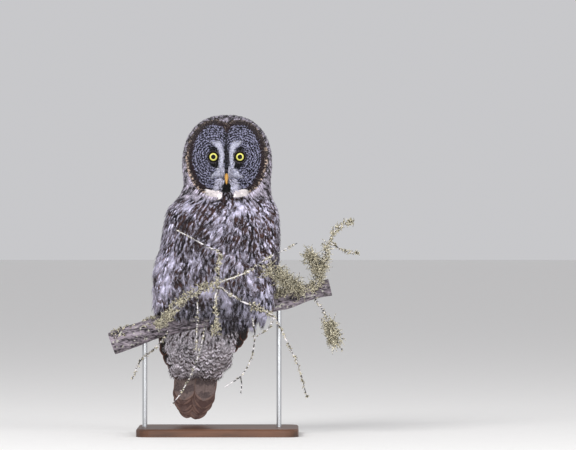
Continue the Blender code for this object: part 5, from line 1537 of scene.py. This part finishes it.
# Short side twigs, each rooted on the perch or on one of the twigs
SPURS = {
    "spur_flank": [(303, 291, 14), (292, 285, 45), (280, 277, 72), (268, 269, 88)],
    "spur_drooping": [(219, 286, 137), (216, 300, 134), (218, 318, 122), (216, 336, 104)],
    "spur_middle": [(198, 291, 131), (199, 310, 127), (198, 330, 112), (197, 352, 92)],
    "spur_long": [(274, 317, 91), (268, 328, 92), (257, 335, 92)],
    "spur_bent": [(241, 376, 60), (242, 384, 60), (241, 392, 60)],
    "spur_right": [(331, 243, 39), (345, 251, 42), (358, 253, 44)],
    "spur_clump": [(320, 270, 32), (313, 262, 36), (309, 252, 40)],
}


def twig_path(name, count):
    """Points on a smooth curve through the twig's places, and their share of its length."""
    places = np.array([photo_point(*p) for p in {**TWIGS, **SPURS}[name]])
    run = np.concatenate([[0], np.cumsum(np.linalg.norm(np.diff(places, axis=0), axis=1))])
    at = np.linspace(0, run[-1], count)
    return np.stack([smooth(run, places[:, k], at) for k in range(3)], axis=-1), at / run[-1]


def spikes(roots, directions, lengths, widths):
    """Closed spikes: a triangle round each root and a point at root + length times direction."""
    count = len(roots)
    side = unit(np.cross(directions, rng.normal(0, 1, (count, 3))))
    other = np.cross(directions, side)
    turn = np.arange(3) * 2 * math.pi / 3
    ring = roots[:, None] + widths[:, None, None] * (
        np.cos(turn)[None, :, None] * side[:, None] + np.sin(turn)[None, :, None] * other[:, None]
    )
    points = np.concatenate([ring, (roots + lengths[:, None] * directions)[:, None]], axis=1)
    start = np.arange(count)[:, None, None] * 4
    faces = start + np.array([(0, 2, 1), (0, 1, 3), (1, 2, 3), (2, 0, 3)])[None]
    return points.reshape(-1, 3), [faces.reshape(-1, 3)]


def side_shoots(path):
    """Short spikes that stand off a twig every 5 mm or so, 2 to 7 mm long."""
    run = np.linalg.norm(np.diff(path, axis=0), axis=1).sum()
    count = int(run / (5 * MM))
    at = np.sort(rng.uniform(0, len(path) - 1, count))
    root = np.stack([np.interp(at, np.arange(len(path)), path[:, k]) for k in range(3)], axis=-1)
    heading = unit(rng.normal(0, 1, (count, 3)) + np.array([0, -0.3, -0.2]))
    return spikes(root, heading, rng.uniform(2.5, 7, count) * MM, np.full(count, 0.9 * MM))


twig_finish = bark_finish("dead_twig_bark_pale", "#141011", "#efeaec", 2.6, 7.0, 0.06)
for name in TWIGS:
    path, share = twig_path(name, 150)
    knobs = 0.4 * MM * np.abs(np.sin(share * 60)) ** 6 + 0.2 * MM * np.sin(share * 171)
    stem = tube(path, 1.8 * MM - 1.1 * MM * share + knobs, 10)
    mesh_piece(f"{name}_bark", *together([stem, side_shoots(path)]), twig_finish, "bark", [name])
for name in SPURS:
    path, share = twig_path(name, 60)
    stem = tube(path, 1.5 * MM - 0.8 * MM * share, 8)
    mesh_piece(f"{name}_bark", *together([stem, side_shoots(path)]), twig_finish, "bark")

# %% [markdown]
# ## Lichen
# Pale yellow-green beard lichen grows on the twigs in small bushes. One bush is a bundle of thin,
# three-sided spikes in random directions. There are thousands of spikes, so each has four faces.


# %% Lichen bushes
def bushes(centres, per_bush, reach):
    """Curly strands from each centre: three-sided tubes through five points, closed at both ends.

    Each strand's heading turns on by the same random turn at every point, and its radius shrinks
    from 1.15 mm to 0.45 mm.
    """
    count = len(centres) * per_bush
    step = np.repeat(reach, per_bush)[:, None] * rng.uniform(0.15, 0.28, (count, 1))
    heading = unit(rng.normal(0, 1, (count, 3)))
    turn = rng.normal(0, 0.5, (count, 3))
    at, path, headings = np.repeat(centres, per_bush, axis=0), [], []
    for _ in range(5):
        path.append(at)
        headings.append(heading)
        at = at + heading * step
        heading = unit(heading + np.cross(turn, heading) + rng.normal(0, 0.22, (count, 3)))
    path, headings = np.stack(path, axis=1), np.stack(headings, axis=1)
    side = unit(np.cross(headings, np.array([0.31, 0.57, 0.76])))
    other = np.cross(headings, side)
    angle = (np.arange(3) * 2 * math.pi / 3)[:, None]
    radius = np.linspace(1.15, 0.45, 5)[:, None, None] * MM
    ring = path[:, :, None] + radius * (np.cos(angle) * side[:, :, None] + np.sin(angle) * other[:, :, None])
    start = np.arange(count)[:, None, None] * 15
    quads = start + grid_faces(5, 3, True)[None]
    ends = start + np.array([(0, 2, 1), (12, 13, 14)])[None]
    return ring.reshape(-1, 3), [quads.reshape(-1, 4), ends.reshape(-1, 3)]


def along_twig(name, first, last, count, spread):
    """Bush centres along a share of a twig, scattered round it by spread, but no further off than 1.7 spreads.

    Without that limit the outermost bushes would hang free in the air.
    """
    path, share = twig_path(name, 300)
    at = rng.uniform(first, last, count)
    centre = np.stack([np.interp(at, share, path[:, k]) for k in range(3)], axis=-1)
    off = rng.normal(0, spread, (count, 3))
    return centre + off * np.minimum(1, 1.7 * spread / np.linalg.norm(off, axis=1, keepdims=True))


def on_perch(first, last, count):
    """Bush centres on the perch's bark between two x in mm, from its top down to the front."""
    x, turn = rng.uniform(first, last, count) * MM, rng.uniform(-30, 75, count)
    return np.array([toe_point(a, b, perch_radius(a) + 0.5 * MM) for a, b in zip(x, turn)])


lichen_material, lichen_tree, lichen_shader = finish("beard_lichen_pale", 0.95)
lichen_tone = place_noise(lichen_tree, 3.0, 3.0)
lichen_tree.links.new(
    node(lichen_tree, MIX, {0: node(lichen_tree, MAP, {0: lichen_tone, 1: 0.4, 2: 0.6}), 1: linear("#3f392a"), 2: linear("#f4ecd2")}),
    lichen_shader.inputs["Base Color"],
)
CLUMPS = (
    # twig, first and last share of its length, bushes, scatter in mm, strands in each bush, reach in mm
    ("twig_main", 0.0, 0.5, 128, 6.0, 5, 12),
    ("twig_main", 0.5, 1.0, 36, 1.2, 4, 6),
    ("twig_upper", 0.0, 0.45, 50, 2.4, 5, 8),
    ("twig_upper", 0.45, 1.0, 14, 0.8, 3, 4),
    ("twig_long", 0.0, 1.0, 70, 1.4, 4, 6),
    ("twig_long", 0.25, 0.42, 26, 3.5, 5, 9),
    ("twig_bent", 0.0, 0.9, 34, 1.0, 3, 4.5),
    ("twig_left", 0.0, 1.0, 30, 1.3, 4, 6),
    ("twig_tail", 0.0, 1.0, 34, 1.0, 3, 4.5),
    ("spur_flank", 0.05, 1.0, 84, 8.0, 8, 24),
    ("spur_drooping", 0.0, 1.0, 30, 2.2, 4, 8),
    ("spur_drooping", 0.55, 0.95, 24, 4.5, 5, 10),
    ("spur_middle", 0.0, 1.0, 24, 1.0, 4, 5),
    ("spur_long", 0.0, 1.0, 10, 1.0, 4, 5),
    ("spur_right", 0.0, 1.0, 28, 1.6, 5, 7),
    ("spur_clump", 0.0, 1.0, 46, 6.0, 8, 24),
    ("twig_right", 0.05, 0.6, 46, 4.5, 7, 22),
    ("twig_right", 0.6, 1.0, 40, 2.6, 5, 10),
    ("twig_hanging", 0.0, 1.0, 36, 1.4, 4, 6),
    ("twig_hanging", 0.55, 0.85, 64, 6.5, 8, 20),
)
lichen = []
for name, first, last, count, spread, per_bush, reach in CLUMPS:
    centres = along_twig(name, first, last, count, spread * MM)
    lichen.append(bushes(centres, per_bush, rng.uniform(0.6, 1.2, count) * reach * MM))
for first, last, count, per_bush, reach in ((-150, -85, 55, 4, 7), (-215, -165, 36, 4, 6), (132, 172, 80, 6, 6), (100, 138, 52, 6, 13)):
    lichen.append(bushes(on_perch(first, last, count), per_bush, rng.uniform(0.6, 1.2, count) * reach * MM))
mesh_piece("beard_lichen", *together(lichen), lichen_material, "bark")

# %% [markdown]
# ## The display stand
# Nothing of the stand is in the photo, so it stays plain: a dark-stained hardwood base and two
# brushed steel rods. Their solids have the right shape already and only get better finishes.


# %% Stand finishes
def carry_over(name, material):
    """Gives every material slot of a solid's own object this material."""
    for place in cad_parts[name].material_slots:
        place.link = "OBJECT" if place.link == "OBJECT" else place.link
        place.material = material


walnut, walnut_tree, walnut_shader = finish("walnut_oiled", 0.42)
grain = place_noise(walnut_tree, 30.0, 6.0, (0.12, 1, 1))
fine = place_noise(walnut_tree, 1.6, 2.0, (0.05, 1, 1))
grain = node(walnut_tree, MATH, {0: fine, 1: 0.35, 2: grain}, operation="MULTIPLY_ADD")
grain = node(walnut_tree, MAP, {0: grain, 1: 0.45, 2: 0.9})
walnut_tree.links.new(
    node(walnut_tree, MIX, {0: grain, 1: linear("#2e1c13"), 2: linear("#6b4630")}), walnut_shader.inputs["Base Color"]
)
carry_over("stand_base", walnut)

steel, steel_tree, steel_shader = finish("steel_brushed", 0.3, Metallic=1.0)
brush = place_noise(steel_tree, 0.6, 2.0, (1, 1, 0.03))
steel_tree.links.new(
    node(steel_tree, MIX, {0: brush, 1: linear("#a9abae"), 2: linear("#c9cbce")}), steel_shader.inputs["Base Color"]
)
steel_tree.links.new(node(steel_tree, MAP, {0: brush, 1: 0.3, 2: 0.7, 3: 0.24, 4: 0.4}), steel_shader.inputs["Roughness"])
for name in ("stand_rod_left", "stand_rod_right"):
    carry_over(name, steel)

# %% [markdown]
# ## Stage, light and camera
# A plain pale floor and soft light from all sides, as in a studio with large diffusers, show the
# coat without hard shadows. The camera stands level and far off with a long lens, as for a wild bird.

# %% Stage, light and camera
FRAME_WIDTH = 576 * 2.05 * MM
CAMERA_DISTANCE = 8.0


def stage_floor():
    """A flat disc of 40 m radius, a ring of points closed by one face."""
    turn = np.arange(96) * math.pi / 48
    points = np.stack([40 * np.cos(turn), 40 * np.sin(turn), np.zeros(96)], axis=-1)
    mesh = bpy.data.meshes.new("floor")
    mesh.from_pydata(points.tolist(), [], [list(range(96))])
    floor = bpy.data.objects.new("floor", mesh)
    bpy.context.scene.collection.objects.link(floor)
    material, tree, shader = finish("floor_painted_pale_grey", 0.9)
    speck = place_noise(tree, 40.0, 2.0)
    colour = node(tree, MIX, {0: speck, 1: linear("#f0efed"), 2: linear("#f4f3f1")})
    tree.links.new(colour, shader.inputs["Base Color"])
    mesh.materials.append(material)


def area_light(name, place, aim, size, power):
    light = bpy.data.lights.new(name, "AREA")
    light.shape = "DISK"
    light.size = size
    light.energy = power
    lamp = bpy.data.objects.new(name, light)
    bpy.context.scene.collection.objects.link(lamp)
    lamp.location = place
    direction = np.array(aim) - np.array(place)
    from mathutils import Vector

    lamp.rotation_euler = Vector(direction).to_track_quat("-Z", "Y").to_euler()


stage_floor()
area_light("soft_key", (-2.2, -3.2, 3.4), (0, 0, 0.4), 2.4, 130)
area_light("soft_fill", (3.0, -2.6, 1.6), (0, 0, 0.4), 2.4, 55)
area_light("soft_low", (0.3, -3.4, 0.35), (0, 0, 0.2), 1.6, 26)
world = bpy.data.worlds.new("pale_room")
bpy.context.scene.world = world
world.use_nodes = True
world.node_tree.nodes["Background"].inputs["Color"].default_value = linear("#e3e3e6")
world.node_tree.nodes["Background"].inputs["Strength"].default_value = 0.75
bpy.context.scene.view_settings.view_transform = "Standard"

lens = bpy.data.cameras.new("camera")
lens.sensor_width = 36
lens.lens = 36 * CAMERA_DISTANCE / FRAME_WIDTH
lens.clip_end = 200
camera = bpy.data.objects.new("camera", lens)
bpy.context.scene.collection.objects.link(camera)
camera.location = (143.5 * MM, -CAMERA_DISTANCE, 429.8 * MM)
camera.rotation_euler = (math.pi / 2, 0, 0)
bpy.context.scene.camera = camera
